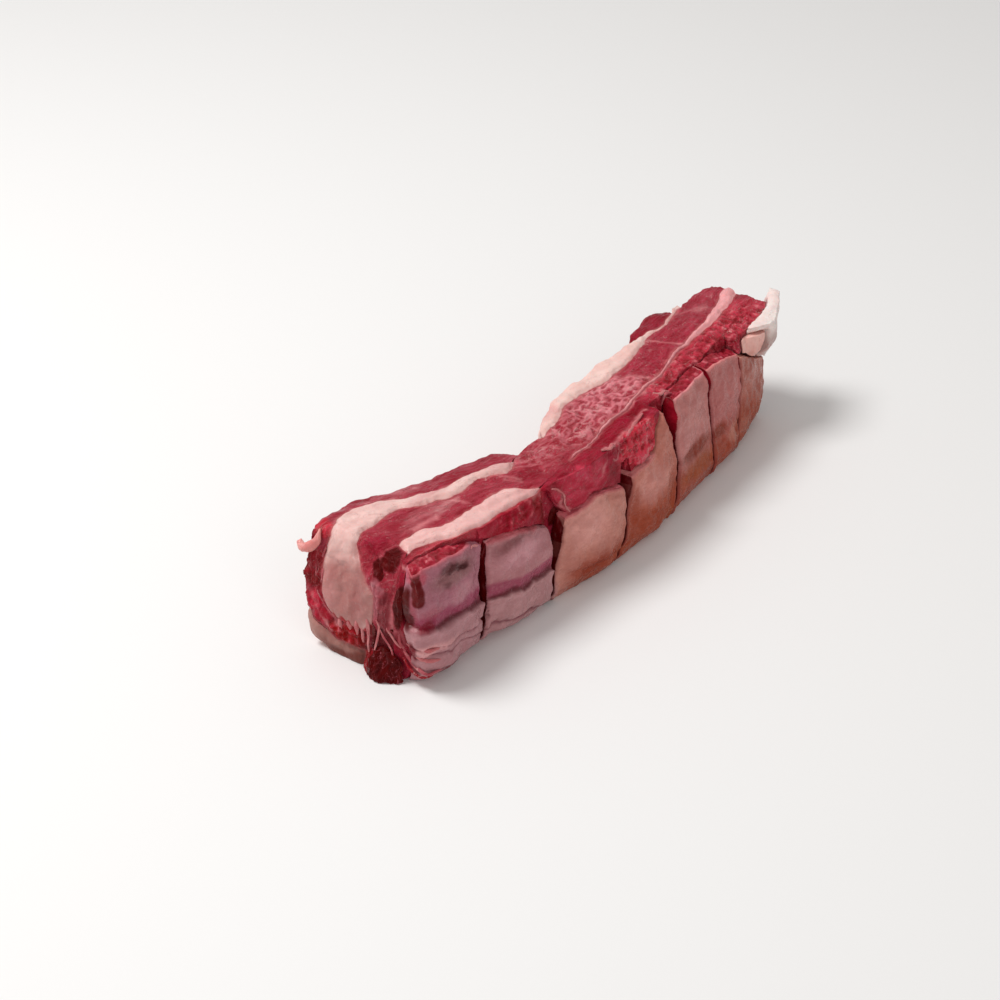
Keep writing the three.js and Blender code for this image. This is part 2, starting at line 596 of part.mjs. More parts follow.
add('outer_muscle', outerMuscle(), FINISH.outerMuscle);
add('lower_edge_fat', lowerEdgeFat(), FINISH.fat);
add('outer_fat_front', outerFat(0, OUTER_FAT_FRONT_END), FINISH.fat);
add('outer_fat_back', outerFat(OUTER_FAT_BACK_START, OUTER_FAT_BACK_END), FINISH.fat);
add('middle_muscle', middleMuscle(), FINISH.muscle);
add('inner_fat_front', innerFat(INNER_FAT_FRONT_START, INNER_FAT_FRONT_END), FINISH.fat);
add('inner_fat_back', innerFat(INNER_FAT_BACK_START, STRIP_LENGTH), FINISH.fat);
add('inner_muscle', innerMuscle(), FINISH.muscle);
for (let number = 0; number <= CUTS.length; number++) {
  add(`rib_section_${number + 1}`, ribSection(number), FINISH.skin);
}
add('back_fat_lower', fatLump(LOWER_LUMP), FINISH.fat);
add('back_fat_upper', fatLump(UPPER_LUMP), FINISH.fat);
add('front_flap', frontFlap(), FINISH.darkMuscle);
add('front_fat_curl', fatCurl(), FINISH.fat);

// The origin is at the middle of the underside.
const box = new THREE.Box3().setFromObject(strip);
const middle = box.getCenter(new THREE.Vector3());
strip.position.set(-middle.x, -middle.y, -box.min.z);
strip.updateMatrixWorld(true);

export default strip;
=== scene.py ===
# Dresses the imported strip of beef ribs. Every CAD node is replaced by a finely meshed copy of
# itself that is rounded, wrinkled and painted as wet meat, fat or skin. A few loose strands and
# shreds are added where the knife and the saw tore the surface. Sizes are millimetres in the
# strip's own layout (x along it from the front cut, y from the rib side outwards, z up) and become
# metres when a mesh is made.
import json
import math

import bpy
import numpy as np
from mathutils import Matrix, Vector
from mathutils.bvhtree import BVHTree
from mathutils.kdtree import KDTree


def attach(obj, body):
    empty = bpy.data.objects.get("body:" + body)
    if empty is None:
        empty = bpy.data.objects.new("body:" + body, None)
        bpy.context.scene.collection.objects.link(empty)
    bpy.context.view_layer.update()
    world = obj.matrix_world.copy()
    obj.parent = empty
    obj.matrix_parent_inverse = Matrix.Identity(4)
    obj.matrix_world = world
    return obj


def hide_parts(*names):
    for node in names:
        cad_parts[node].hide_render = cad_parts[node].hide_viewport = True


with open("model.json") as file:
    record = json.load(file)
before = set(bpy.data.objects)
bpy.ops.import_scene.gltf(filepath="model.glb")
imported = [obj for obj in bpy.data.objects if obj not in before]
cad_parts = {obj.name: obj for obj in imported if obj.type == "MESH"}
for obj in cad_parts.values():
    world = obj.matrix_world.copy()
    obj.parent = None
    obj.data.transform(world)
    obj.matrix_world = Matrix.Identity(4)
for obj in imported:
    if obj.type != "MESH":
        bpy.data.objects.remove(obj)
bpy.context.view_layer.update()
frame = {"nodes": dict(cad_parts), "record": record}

# ---- Sizes ----------------------------------------------------------------------------------

MM = 0.001
LAYOUT_ORIGIN = np.array([-176.636, -30.894, 0.0])  # the layout's origin, in the part's frame

FINE = 0.85  # longest mesh edge where the surface shows
BACK = 1.15  # on the outer side and the back cut
UNDER = 2.6  # on the underside
SPLITS = 12  # most rounds of splitting long edges
HIDDEN_REACH = 0.95  # a face this close to its neighbour's is hidden
OFF_FACE = 0.02  # how far off its face a sight line starts
VOXEL = 1.25  # of the rounded proxy
ROUNDING = 9  # passes of smoothing over the proxy
ROUNDING_STEP = 0.6  # how far a pass moves a point towards its neighbours
NEAREST = 4  # how many of the proxy's points a point follows
ROUNDED_DEPTH = 3.5  # how deep under the proxy its rounding still counts
CLOSE_GAP = 0.2  # hidden faces swell by this, which closes the hairline between neighbours
SOLE = 1.5  # below this, edges don't count as rims
BORDER_REACH = 6.0  # how far borders between nodes are looked for
NEXT_REACH = 3.0  # and those between rib sections
SHARP_BEND = math.radians(75)

FAT = (
    "lower_edge_fat", "outer_fat_front", "outer_fat_back", "inner_fat_front", "inner_fat_back",
    "back_fat_lower", "back_fat_upper", "front_fat_curl",
)
SKIN = tuple(f"rib_section_{n}" for n in range(1, 8))
SLOT = {entry["node"]: entry["material_slot"] for entry in frame["record"]["subparts"]}

# ---- Noise ----------------------------------------------------------------------------------

_random = np.random.default_rng(7)
_ORDER = _random.permutation(256)
_GRADIENT = _random.normal(size=(256, 3))
_GRADIENT /= np.linalg.norm(_GRADIENT, axis=1, keepdims=True)


def noise(points, size, seed=0):
    """Smooth noise, about -1 to 1, with features size across: a number, or one for each axis."""
    p = points / np.asarray(size, float) + 17.3 * seed
    cell = np.floor(p).astype(int)
    part = p - cell
    ease = part * part * part * (part * (part * 6 - 15) + 10)
    total = np.zeros(len(p))
    for corner in np.ndindex(2, 2, 2):
        at = cell + corner
        index = _ORDER[(_ORDER[(_ORDER[at[:, 0] & 255] + at[:, 1]) & 255] + at[:, 2]) & 255]
        reach = np.einsum("ij,ij->i", _GRADIENT[index], part - corner)
        weight = np.prod(np.where(corner, ease, 1 - ease), axis=1)
        total += weight * reach
    return total * 1.6


def layered(points, size, seed=0, octaves=3):
    """Noise with finer and weaker noise on top."""
    size = np.asarray(size, float)
    layers = [noise(points, size / 2**n, seed + n) / 2**n for n in range(octaves)]
    return sum(layers) / 1.4


def drift(points, size, seed, kind=noise):
    """Noise for each axis, to move points by."""
    return np.stack([kind(points, size, seed + axis) for axis in range(3)], axis=1)


def ridged(points, size, seed=0):
    """Sharp crests, 1 on the crest and falling to 0."""
    return 1 - np.clip(np.abs(layered(points, size, seed, 2)) * 2.2, 0, 1)


def ramp(value, low, high):
    t = np.clip((value - low) / (high - low), 0, 1)
    return t * t * (3 - 2 * t)


# ---- Meshes as arrays -----------------------------------------------------------------------


def read(items, field, width, kind=float):
    """A field of all items of a mesh, one row for each."""
    values = np.empty(len(items) * width, kind)
    items.foreach_get(field, values)
    return values.reshape(-1, width)


def mesh_arrays(mesh):
    """Vertices in layout millimetres and triangles of a mesh."""
    mesh.calc_loop_triangles()
    points = read(mesh.vertices, "co", 3) / MM - LAYOUT_ORIGIN
    return points, read(mesh.loop_triangles, "vertices", 3, int)


def node_arrays(name):
    """Welded vertices and triangles of a CAD node."""
    points, corners = mesh_arrays(frame["nodes"][name].data)
    _, first, weld = np.unique(np.round(points, 3), axis=0, return_index=True, return_inverse=True)
    triangles = weld.reshape(-1)[corners]
    solid = (np.diff(np.sort(triangles, axis=1), axis=1) > 0).all(axis=1)
    return points[first], triangles[solid]


def face_normals(points, triangles):
    a, b, c = (points[triangles[:, n]] for n in range(3))
    cross = np.cross(b - a, c - a)
    return cross / np.maximum(np.linalg.norm(cross, axis=1, keepdims=True), 1e-9)


def vertex_normals(points, triangles, keep=None):
    """Area-weighted normals; keep limits which triangles count."""
    a, b, c = (points[triangles[:, n]] for n in range(3))
    cross = np.cross(b - a, c - a)
    if keep is not None:
        cross = cross * keep[:, None]
    total = np.zeros_like(points)
    for n in range(3):
        for axis in range(3):
            total[:, axis] += np.bincount(triangles[:, n], cross[:, axis], len(points))
    return total / np.maximum(np.linalg.norm(total, axis=1, keepdims=True), 1e-9)


def joined(meshes):
    """Several meshes, given as points and triangles, as one."""
    starts = np.cumsum([0] + [len(points) for points, _ in meshes])
    triangles = [triangles + start for (_, triangles), start in zip(meshes, starts)]
    return np.concatenate([points for points, _ in meshes]), np.concatenate(triangles)


def tree_of(names, without=None):
    """One search tree over the faces of several nodes."""
    points, triangles = joined([ARRAYS[name] for name in names if name != without])
    return BVHTree.FromPolygons(points.tolist(), triangles.tolist())


def distances(tree, points, reach):
    """Distance from each point to the tree's nearest face, at most reach."""
    found = (tree.find_nearest(point, reach)[3] for point in points.tolist())
    return np.array([reach if d is None else d for d in found])


# Spots sampled on a triangle, as weights of its corners: the middle, near corners, near sides.
SAMPLES = np.array([
    [1, 1, 1], [8, 1, 1], [1, 8, 1], [1, 1, 8], [4.5, 4.5, 1], [1, 4.5, 4.5], [4.5, 1, 4.5],
])
SAMPLES /= SAMPLES.sum(axis=1, keepdims=True)


def shows(tree, points, triangles, samples=SAMPLES):
    """Which triangles have a sampled spot that no neighbour covers."""
    normals = face_normals(points, triangles)
    result = np.zeros(len(triangles), bool)
    for weights in samples:
        left = np.flatnonzero(~result)
        spots = np.einsum("k,nkj->nj", weights, points[triangles[left]])
        spots += normals[left] * OFF_FACE
        for at, spot, way in zip(left, spots.tolist(), normals[left].tolist()):
            result[at] = tree.ray_cast(spot, way, HIDDEN_REACH)[0] is None
    return result


def wanted_edge(centres, normals):
    """Longest edge that a face at each centre may keep."""
    away = (normals[:, 1] > 0.55) | (normals[:, 0] > 0.7)
    size = np.where(away, BACK, FINE)
    return np.where((centres[:, 2] < 0.6) & (normals[:, 2] < -0.7), UNDER, size)


def split(points, triangles, marked):
    """Splits marked edges (one flag for each triangle side) at their middles, without cracks."""
    sides = np.sort(triangles[:, [[0, 1], [1, 2], [2, 0]]].reshape(-1, 2), axis=1)
    key = sides[:, 0] * len(points) + sides[:, 1]
    unique, first, inverse = np.unique(key, return_index=True, return_inverse=True)
    chosen = np.zeros(len(unique), bool)
    chosen[inverse[marked.reshape(-1)]] = True
    middle = np.full(len(unique), -1)
    middle[chosen] = len(points) + np.arange(chosen.sum())
    ends = sides[first[chosen]]
    points = np.concatenate([points, points[ends].mean(axis=1)])
    mids = middle[inverse].reshape(-1, 3)
    flags = mids >= 0
    count = flags.sum(axis=1)
    made = [triangles[count == 0]]
    whole, m = triangles[count == 3], mids[count == 3]
    for parts in ((whole[:, 0], m[:, 0], m[:, 2]), (m[:, 0], whole[:, 1], m[:, 1]),
                  (m[:, 2], m[:, 1], whole[:, 2]), (m[:, 0], m[:, 1], m[:, 2])):
        made.append(np.stack(parts, axis=1))
    for side in range(3):
        # One marked side: two triangles.
        pick = (count == 1) & flags[:, side]
        a, b, c = (triangles[pick][:, (side + n) % 3] for n in range(3))
        m = mids[pick][:, side]
        made += [np.stack([a, m, c], axis=1), np.stack([m, b, c], axis=1)]
        # Two marked sides, this one not: a corner and a quad, cut on its short diagonal.
        pick = (count == 2) & ~flags[:, side]
        a, b, c = (triangles[pick][:, (side + n) % 3] for n in range(3))
        right, left = mids[pick][:, (side + 1) % 3], mids[pick][:, (side + 2) % 3]
        made.append(np.stack([left, right, c], axis=1))
        short = np.linalg.norm(points[a] - points[right], axis=1) < np.linalg.norm(
            points[b] - points[left], axis=1)
        made += [
            np.stack([a, b, np.where(short, right, left)], axis=1),
            np.stack([np.where(short, a, b), right, left], axis=1),
        ]
    return points, np.concatenate(made)


def refined(tree, points, triangles):
    """Splits long edges of the triangles that show, until none is left."""
    for _ in range(SPLITS):
        ends = points[triangles]
        length = np.linalg.norm(ends - np.roll(ends, -1, axis=1), axis=2)
        normals = face_normals(points, triangles)
        limit = wanted_edge(ends.mean(axis=1), normals)
        long = length > limit[:, None]
        rows = np.flatnonzero(long.any(axis=1))
        if len(rows) == 0:
            break
        bare = rows[shows(tree, points, triangles[rows])]
        marked = np.zeros_like(long)
        marked[bare] = long[bare]
        if not marked.any():
            break
        points, triangles = split(points, triangles, marked)
    return points, triangles


ARRAYS = {name: node_arrays(name) for name in frame["nodes"]}
ALL = tree_of(ARRAYS)

# ---- Rounded proxy --------------------------------------------------------------------------


def mesh_of(name, points, triangles):
    """A Blender mesh in the part's frame."""
    mesh = bpy.data.meshes.new(name)
    mesh.vertices.add(len(points))
    mesh.vertices.foreach_set("co", ((points + LAYOUT_ORIGIN) * MM).reshape(-1))
    mesh.loops.add(triangles.size)
    mesh.loops.foreach_set("vertex_index", triangles.reshape(-1))
    mesh.polygons.add(len(triangles))
    mesh.polygons.foreach_set("loop_start", np.arange(0, triangles.size, 3))
    mesh.update(calc_edges=True)
    return mesh


def proxy():
    """A closed skin over the whole strip, and where smoothing takes each of its points."""
    holder = bpy.data.objects.new("proxy", mesh_of("proxy", *joined(list(ARRAYS.values()))))
    bpy.context.scene.collection.objects.link(holder)
    remesh = holder.modifiers.new("remesh", "REMESH")
    remesh.mode = "VOXEL"
    remesh.voxel_size = VOXEL * MM
    made = holder.evaluated_get(bpy.context.evaluated_depsgraph_get()).to_mesh()
    skin, faces = mesh_arrays(made)
    one, two = read(made.edges, "vertices", 2, int).T
    mesh = holder.data
    bpy.data.objects.remove(holder)
    bpy.data.meshes.remove(mesh)
    smooth = skin.copy()
    degree = np.bincount(one, minlength=len(skin)) + np.bincount(two, minlength=len(skin))
    for _ in range(ROUNDING):
        around = np.stack([
            np.bincount(one, smooth[two, axis], len(skin))
            + np.bincount(two, smooth[one, axis], len(skin))
            for axis in range(3)
        ], axis=1) / degree[:, None]
        smooth += ROUNDING_STEP * (around - smooth)
    return skin, smooth - skin, vertex_normals(smooth, faces)


PROXY, PROXY_SHIFT, PROXY_NORMAL = proxy()
PROXY_TREE = KDTree(len(PROXY))
for _index, _point in enumerate(PROXY.tolist()):
    PROXY_TREE.insert(_point, _index)
PROXY_TREE.balance()


def from_proxy(points):
    """Shift, outward direction and depth of points, blended from the proxy's nearest points."""
    found = [PROXY_TREE.find_n(point, NEAREST) for point in points.tolist()]
    index = np.array([[hit[1] for hit in hits] for hits in found])
    far = np.array([[hit[2] for hit in hits] for hits in found])
    weight = 1 / (far + 0.15)
    weight /= weight.sum(axis=1, keepdims=True)
    shift = np.einsum("nk,nkj->nj", weight, PROXY_SHIFT[index])
    normal = np.einsum("nk,nkj->nj", weight, PROXY_NORMAL[index])
    normal /= np.maximum(np.linalg.norm(normal, axis=1, keepdims=True), 1e-9)
    return shift, normal, far[:, 0]


# ---- Stage ----------------------------------------------------------------------------------

CAMERA_AT = np.array([-866.4, -678.9, 825.0])  # in the layout
CAMERA_HEADING = math.radians(36)  # from the strip's x axis
CAMERA_PITCH = math.radians(32.8)
CAMERA_LENS = 96.3
WORLD_COLOUR, WORLD_STRENGTH = (1, 0.985, 0.97, 1), 0.47
FLOOR_SIZE, FLOOR_COLOUR, FLOOR_ROUGHNESS = 6, (0.86, 0.85, 0.84, 1), 0.6
LIGHTS = (  # name, place and size in metres, power
    ("key", (-0.45, 0.75, 1.5), 0.7, 21),
    ("fill", (-1.0, -1.4, 0.9), 1.2, 4),
)


def placed(name, data, place, ahead):
    """An object at a place in metres that looks ahead."""
    made = bpy.data.objects.new(name, data)
    made.location = place
    made.rotation_mode = "QUATERNION"
    made.rotation_quaternion = Vector(ahead).to_track_quat("-Z", "Y")
    bpy.context.scene.collection.objects.link(made)
    return made


def add_camera():
    data = bpy.data.cameras.new("camera")
    data.lens = CAMERA_LENS
    data.clip_start = 0.05
    flat = math.cos(CAMERA_PITCH)
    ahead = (flat * math.cos(CAMERA_HEADING), flat * math.sin(CAMERA_HEADING),
             -math.sin(CAMERA_PITCH))
    place = (CAMERA_AT + LAYOUT_ORIGIN) * MM
    bpy.context.scene.camera = placed("camera", data, place, ahead)


def add_light(name, place, size, power):
    data = bpy.data.lights.new(name, "AREA")
    data.shape = "DISK"
    data.size = size
    data.energy = power
    placed(name, data, place, -Vector(place))


def add_stage():
    world = bpy.data.worlds.new("studio")
    world.use_nodes = True
    background = world.node_tree.nodes["Background"]
    background.inputs["Color"].default_value = WORLD_COLOUR
    background.inputs["Strength"].default_value = WORLD_STRENGTH
    bpy.context.scene.world = world
    for light in LIGHTS:
        add_light(*light)
    bpy.ops.mesh.primitive_plane_add(size=FLOOR_SIZE, location=(0, 0, 0))
    floor = bpy.context.object
    floor.name = "floor"
    material = bpy.data.materials.new("floor")
    material.use_nodes = True
    shader = material.node_tree.nodes["Principled BSDF"]
    shader.inputs["Base Color"].default_value = FLOOR_COLOUR
    shader.inputs["Roughness"].default_value = FLOOR_ROUGHNESS
    floor.data.materials.append(material)
    bpy.context.scene.view_settings.view_transform = "Standard"


add_camera()
add_stage()

# ---- Warp and relief ------------------------------------------------------------------------


def warp(points):
    """Sideways wander that every node shares, so that borders turn organic and stay shut."""
    wander, shiver = drift(points, [14, 11, 14], 40), drift(points, 4.5, 50)
    shift = wander * [1.4, 1.5, 0.8] + shiver * [0.5, 0.55, 0.3]
    return shift * ramp(points[:, 2:3], 0, 6)


def common_relief(points):
    """Bumps and hollows that all nodes share."""
    return 0.8 * layered(points, [26, 16, 20], 3) + 0.45 * layered(points, [8, 6, 7], 5)


def to_line(places, start, end):
    """Distance of places from the line between two of them, and how far along they are."""
    start, end = np.array(start, float), np.array(end, float)
    way = end - start
    along = np.clip((places - start) @ way / (way @ way), 0, 1)
    return np.linalg.norm(places - start - along[:, None] * way, axis=1), along


def inside(points, spots, blur=0.2):
    """How deep points lie in any of the spots: x, y, z, three radii and a strength each."""
    most = np.zeros(len(points))
    for x, y, z, rx, ry, rz, strength in spots:
        far = np.linalg.norm((points - [x, y, z]) / [rx, ry, rz], axis=1)
        most = np.maximum(most, strength * ramp(-far, -1 - blur, blur - 1))
    return most


# Folds that cross a whole section: where they run, the crease's height at both ends, and the
# skin's height across it, from below to above.
FOLDS = (
    (0, 51, 36.0, 31.0, (
        (-36, 0), (-29, 0.5), (-26, -0.6), (-23, 0.4), (-18.5, 0.3), (-17, -0.8), (-15.5, 0.4),
        (-13, 0.5), (-11.6, -0.7), (-10.2, 0.7), (-5, 1.0), (-1.6, 1.4), (0.6, -1.3), (4, -0.9),
        (12, 0.4), (20, 0.3), (26, -0.5), (29, 0))),
    (55, 104, 28.5, 22.0, (
        (-30, 0), (-22, 0.3), (-18, -0.8), (-15, 0.6), (-9, 1.1), (-4, 0.2), (-1.2, 0.8),
        (0.6, -1.0), (4, -0.5), (10, 0.8), (20, 0.7), (28, -0.2), (32, 0))),
)


def across_fold(points, start, end, low, high):
    """Height of points over a fold's crease, which wanders, and how far they are along it."""
    along = (points[:, 0] - start) / (end - start)
    wander = 1.9 * noise(points, [13, 13, 9], 61) + 0.8 * noise(points, [5, 5, 4], 65)
    wander += 4.5 * (along - 0.5) * ramp(-points[:, 2], -26, -10)
    return points[:, 2] + wander - (low + (high - low) * along), along


# Single grooves and ridges: start and end as (x, z), half width, height.
CREASES = (
    ((14, 58.5), (42, 56.5), 1.4, -0.8), ((112, 14), (150, 9), 1.8, -0.8),
    ((112, 20), (148, 16), 3.0, 0.7), ((160, 24), (204, 12), 2.0, -0.8),
    ((158, 36), (176, 10), 1.8, -0.7), ((186, 40), (208, 24), 3.0, 0.6),
    ((222, 32), (262, 24), 2.4, -0.9), ((224, 12), (262, 12), 3.0, 1.1),
    ((270, 36), (283, 8), 1.6, -1.0), ((275, 36), (296, 10), 1.5, -0.9),
    ((306, 40), (314, 6), 1.8, -0.7), ((322, 50), (330, 14), 2.4, -0.5),
)


def skin_relief(points, skin, edge):
    """Folds of the skin, and the lip that it curls up along the cuts."""
    wobble = np.stack([noise(points, 12, 60), noise(points, [10, 10, 6], 61)], axis=1)
    places = points[:, [0, 2]] + [2.0, 1.5] * wobble
    height = np.zeros(len(points))
    for *line, profile in FOLDS:
        across, along = across_fold(points, *line)
        tall = np.interp(across, *np.array(profile, float).T)
        height += np.where((along > -0.06) & (along < 1.02), tall, 0)
    for start, end, width, tall in CREASES:
        far, along = to_line(places, start, end)
        taper = ramp(along, 0, 0.12) * ramp(-along, -1, -0.88)
        height += tall * taper * np.exp(-((far / width) ** 2))
    height += 0.4 * ridged(points, [16, 12, 5], 62) * ramp(-points[:, 2], -30, -8)
    height += 0.35 * layered(points, [9, 9, 15], 63) + 0.12 * layered(points, [3.2, 3, 3.2], 64)
    height += 0.9 * np.exp(-(((edge - 1.5) / 1.2) ** 2))
    return skin * height


GRAIN = (4.4, 3.8, 4.2)  # lumps of torn meat
SPECK = (7.5, 5.5, 6.5)  # cells of the net of fat in the spongy meat
RAW_SPOTS = (  # where meat is torn and granular
    (86, -5, 64, 24, 8, 7, 0.8),
    (250, 8, 70, 32, 15, 12, 1), (310, 10, 70, 36, 14, 12, 1), (184, -9, 60, 22, 8, 13, 1),
    (218, -6, 58, 8, 9, 16, 1), (27, 3, 68, 19, 5, 8, 0.9), (0, 50, 16, 8, 12, 7, 0.8),
    (0, 64, 52, 8, 6, 10, 0.9),
)
SPONGY_SPOTS = (
    (205, 24, 70, 28, 15, 14, 1), (168, 22, 70, 24, 15, 14, 0.7), (132, 22, 70, 18, 13, 12, 0.35),
)


def meat_relief(points, normals, raw, spongy):
    """Fibres along the strip, deep pits where the meat is torn, streaks down the front cut."""
    front = ramp(-normals[:, 0], 0.5, 0.85) * ramp(-points[:, 0], -40, -20)
    grain = bent(points)
    height = 0.4 * ridged(grain, [12, 2.6, 5], 70) + 0.3 * layered(grain, [9, 4, 5], 71)
    height += front * (0.9 * ridged(points, [6, 3.4, 15], 72) + 1.1 * layered(points, 9, 73))
    height += raw * (1.3 * layered(points, GRAIN, 74) + 0.3 * ridged(points, 4.0, 75))
    height += spongy * 0.5 * ridged(grain, SPECK, 76)
    return height - 0.45


def fat_relief(points, border):
    return 1.1 * ramp(border, 0, 2.6) + 0.3 * layered(bent(points), [20, 6, 10], 80) + (
        0.1 * layered(points, [3.5, 3, 4], 81))


# ---- Colours --------------------------------------------------------------------------------

TOP, FRONT, RIB = 1.1, 1.05, 0.7  # how much light the studio throws on each side
SHEEN = 0.008  # what the gloss adds to every colour


def seen(code, light=TOP):
    """The surface colour that looks like this one under that much light."""
    value = np.array([int(code[n:n + 2], 16) for n in (0, 2, 4)]) / 255
    linear = np.where(value <= 0.04045, value / 12.92, ((value + 0.055) / 1.055) ** 2.4)
    return np.clip((linear - SHEEN) / light, 0.002, 0.9)


def bend(x):
    """How far the strip's layers swing sideways along it."""
    return np.interp(x, (0, 60, 118, 150, 220, 265, 300, 346), (40, 18, 0, -3, 0, 3, 8, 20))


def bent(points):
    """Places in the strip if it was pulled straight."""
    return np.stack([points[:, 0], points[:, 1] - bend(points[:, 0]), points[:, 2]], axis=1)


def blend(tint, amount, colour):
    tint += np.clip(amount, 0, 1)[:, None] * (colour - tint)


def paint(tint, amount, code, light=TOP):
    blend(tint, amount, seen(code, light))


# Paint of the meat nodes: colour and marbling.
MEAT_BASE = {
    "outer_muscle": (seen("a33c4a"), 0.16),
    "middle_muscle": (seen("a83a49"), 0.14),
    "inner_muscle": (seen("9a2839"), 0.06),
    "front_flap": (seen("560b10", FRONT), 0.1),
}
# Spots on them: colour, the light it is seen in, marbling, places.
MEAT_SPOTS = {
    "outer_muscle": (
        ("b85f68", TOP, 0.3, (60, 62, 70, 70, 8, 9, 0.8)),
        ("942736", TOP, 0.04, (294, 54, 70, 28, 14, 40, 1)),
        ("8f2a31", FRONT, 0.3, (0, 69, 48, 9, 12, 14, 1)),
        ("c0323f", FRONT, 0.2, (12, 71, 66, 6, 6, 4, 0.8)),
        ("b42c3e", FRONT, 0.06, (-1, 71, 28, 9, 6, 6, 1), (-1, 65, 21, 9, 6, 5, 1)),
        ("960f18", FRONT, 0.03, (0, 48, 15, 10, 13, 7, 1)),
        ("6f1018", FRONT, 0.03, (0, 38, 13, 8, 4, 8, 0.8), (0, 72, 40, 8, 4, 4, 0.7)),
    ),
    "middle_muscle": (
        ("be5864", TOP, 0.4, (196, 24, 70, 42, 16, 14, 1)),
        ("b0424e", TOP, 0.4, (158, 22, 70, 22, 16, 12, 1), (128, 20, 70, 18, 14, 12, 0.6)),
        ("ac3648", TOP, 0.18, (275, 26, 70, 42, 18, 20, 1)),
        ("b35e66", TOP, 0.12, (50, 34, 70, 20, 7, 9, 0.9)),
        ("bf757a", TOP, 0.2, (62, 29.5, 70, 9, 3.6, 8, 0.9)),
        ("8e1f30", TOP, 0.04, (112, 13, 70, 9, 5, 7, 0.7), (175, 38, 70, 9, 3.5, 6, 0.9)),
        ("b8717a", FRONT, 0.03, (-1, 30, 44, 9, 6, 13, 1)),
        ("7e383e", FRONT, 0.03, (-1, 24, 38, 9, 4.5, 12, 0.9)),
        ("4c0a10", FRONT, 0.02, (0, 13, 46, 9, 5.5, 14, 1), (0, 22, 20, 8, 11, 8, 0.8)),
        ("98283a", TOP, 0.04, (13, 38.5, 70, 8, 6, 7, 1)),
        ("5a0f1b", TOP, 0.01,
            (10, 24.2, 67, 6.5, 5.4, 8, 1), (8, 27, 66, 4, 3.4, 6, 1),
            (4.5, 31, 60.5, 7, 5.4, 4.6, 1), (4, 28.4, 58, 6, 3, 3, 1)),
    ),
    "inner_muscle": (
        ("951e30", TOP, 0.04, (176, 3, 70, 44, 9, 12, 1)),
        ("bf3b4d", TOP, 0.2, (262, 8, 70, 46, 16, 20, 1), (322, 14, 70, 30, 16, 20, 1)),
        ("b83444", RIB, 0.2, (186, -10, 60, 21, 9, 13, 1)),
        ("a03344", RIB, 0.12, (128, -10, 60, 26, 10, 12, 1)),
        ("902030", 0.75, 0.04, (80, -2, 66, 30, 9, 9, 1)),
        ("a03040", 0.8, 0.06, (58, 2, 67, 12, 6, 8, 0.9)),
        ("7a1420", 0.75, 0.03, (84, -6, 61, 12, 8, 2.6, 0.6), (101, -3, 62, 5, 9, 12, 0.7)),
        ("430205", RIB, 0.0, (116.5, -1, 45.5, 4.5, 5, 6.5, 1)),
        ("a33a45", 0.85, 0.12, (28, 8, 68, 28, 9, 8, 1)),
        ("510409", RIB, 0.02, (219, -7, 54, 8, 9, 13, 1), (104, -12, 40, 6, 12, 40, 0.9)),
        ("520c13", FRONT, 0.02, (0, 14.5, 46, 8, 5, 14, 1)),
        ("a4555c", FRONT, 0.1, (0, 14, 27, 8, 5, 5, 0.6)),
    ),
    "front_flap": (
        ("8e2026", FRONT, 0.1, (-4, 34, 9, 9, 3.4, 12, 1)),
    ),
}
# Pale lines of tissue across the meat: start and end, half width, strength.
TISSUE_LINES = (
    ((271, 42, 69), (275, 30, 69), 1.1, 0.8), ((275, 30, 69), (281, 22, 69), 1.0, 0.7),
    ((306, 47, 69), (327, 39, 69), 1.2, 0.8), ((327, 39, 69), (338, 42, 69), 1.1, 0.5),
    ((318, 39, 69), (323, 37, 69), 3.0, 0.5), ((100, 20, 70), (104, 12, 70), 1.1, 0.5),
    ((7, 21, 69), (5, 9, 64), 1.0, 0.7), ((5, 9, 64), (0, 8.5, 38), 1.0, 0.8),
    ((8, 33, 68), (3, 26, 60), 1.0, 0.8), ((3, 26, 60), (1, 22, 54), 1.0, 0.7),
    ((5, 36, 63), (3, 27, 62), 1.0, 0.6), ((0, 20, 54), (0, 19, 30), 1.3, 0.5),
    ((104, -9, 55), (118, -12, 62), 1.0, 0.7), ((128, -13, 58), (150, -13, 62), 0.9, 0.6),
    ((150, -9, 60), (158, -5, 69), 1.2, 0.8), ((162, -6, 69), (204, 1, 69), 1.1, 0.8),
    ((204, 1, 69), (212, -6, 58), 1.1, 0.7), ((56, -3, 60), (80, -4, 66), 0.9, 0.5),
    ((2, 74, 33), (0, 59, 13), 1.0, 0.7), ((0, 66, 36), (0, 56, 18), 0.9, 0.6),
    ((0, 62, 60), (0, 63, 44), 0.9, 0.7), ((0, 66, 58), (0, 67, 42), 0.9, 0.7),
    ((0, 70, 52), (0, 70, 40), 0.9, 0.5), ((36, 31, 69), (50, 28, 69), 1.6, 0.9),
    ((226, 33, 69), (231, 26, 69), 1.6, 0.9), ((231, 26, 69), (234, 19, 69), 1.3, 0.8),
    ((113, -1, 66), (119, -4, 59), 1.2, 0.9), ((119, -4, 59), (117, -5, 52), 1.1, 0.8),
    ((117, -5, 52), (123, -6, 47.5), 1.2, 0.8), ((66, 33, 69), (70, 22, 69), 1.0, 0.7),
    ((100, 26, 69), (105, 14, 69), 1.0, 0.5),
)


def grains_with_painted_light(tint, points, raw):
    """Torn meat: brighter grains between darker pits that follow its bumps, partly the meat's own
    grain, with painted highlight on the grains and painted shade in the pits.
    """
    grains = ramp(layered(points, GRAIN, 74), -0.45, 0.55)
    paint(tint, 0.6 * raw * ramp(grains, 0.5, 0.95), "cc4656")
    # Painted highlight on the tops of the grains.
    paint(tint, 0.6 * raw * ramp(grains, 0.85, 1), "e88e95")
    # Painted shade in the pits between them.
    paint(tint, 0.7 * raw * ramp(1 - grains, 0.55, 1), "7c0e18")


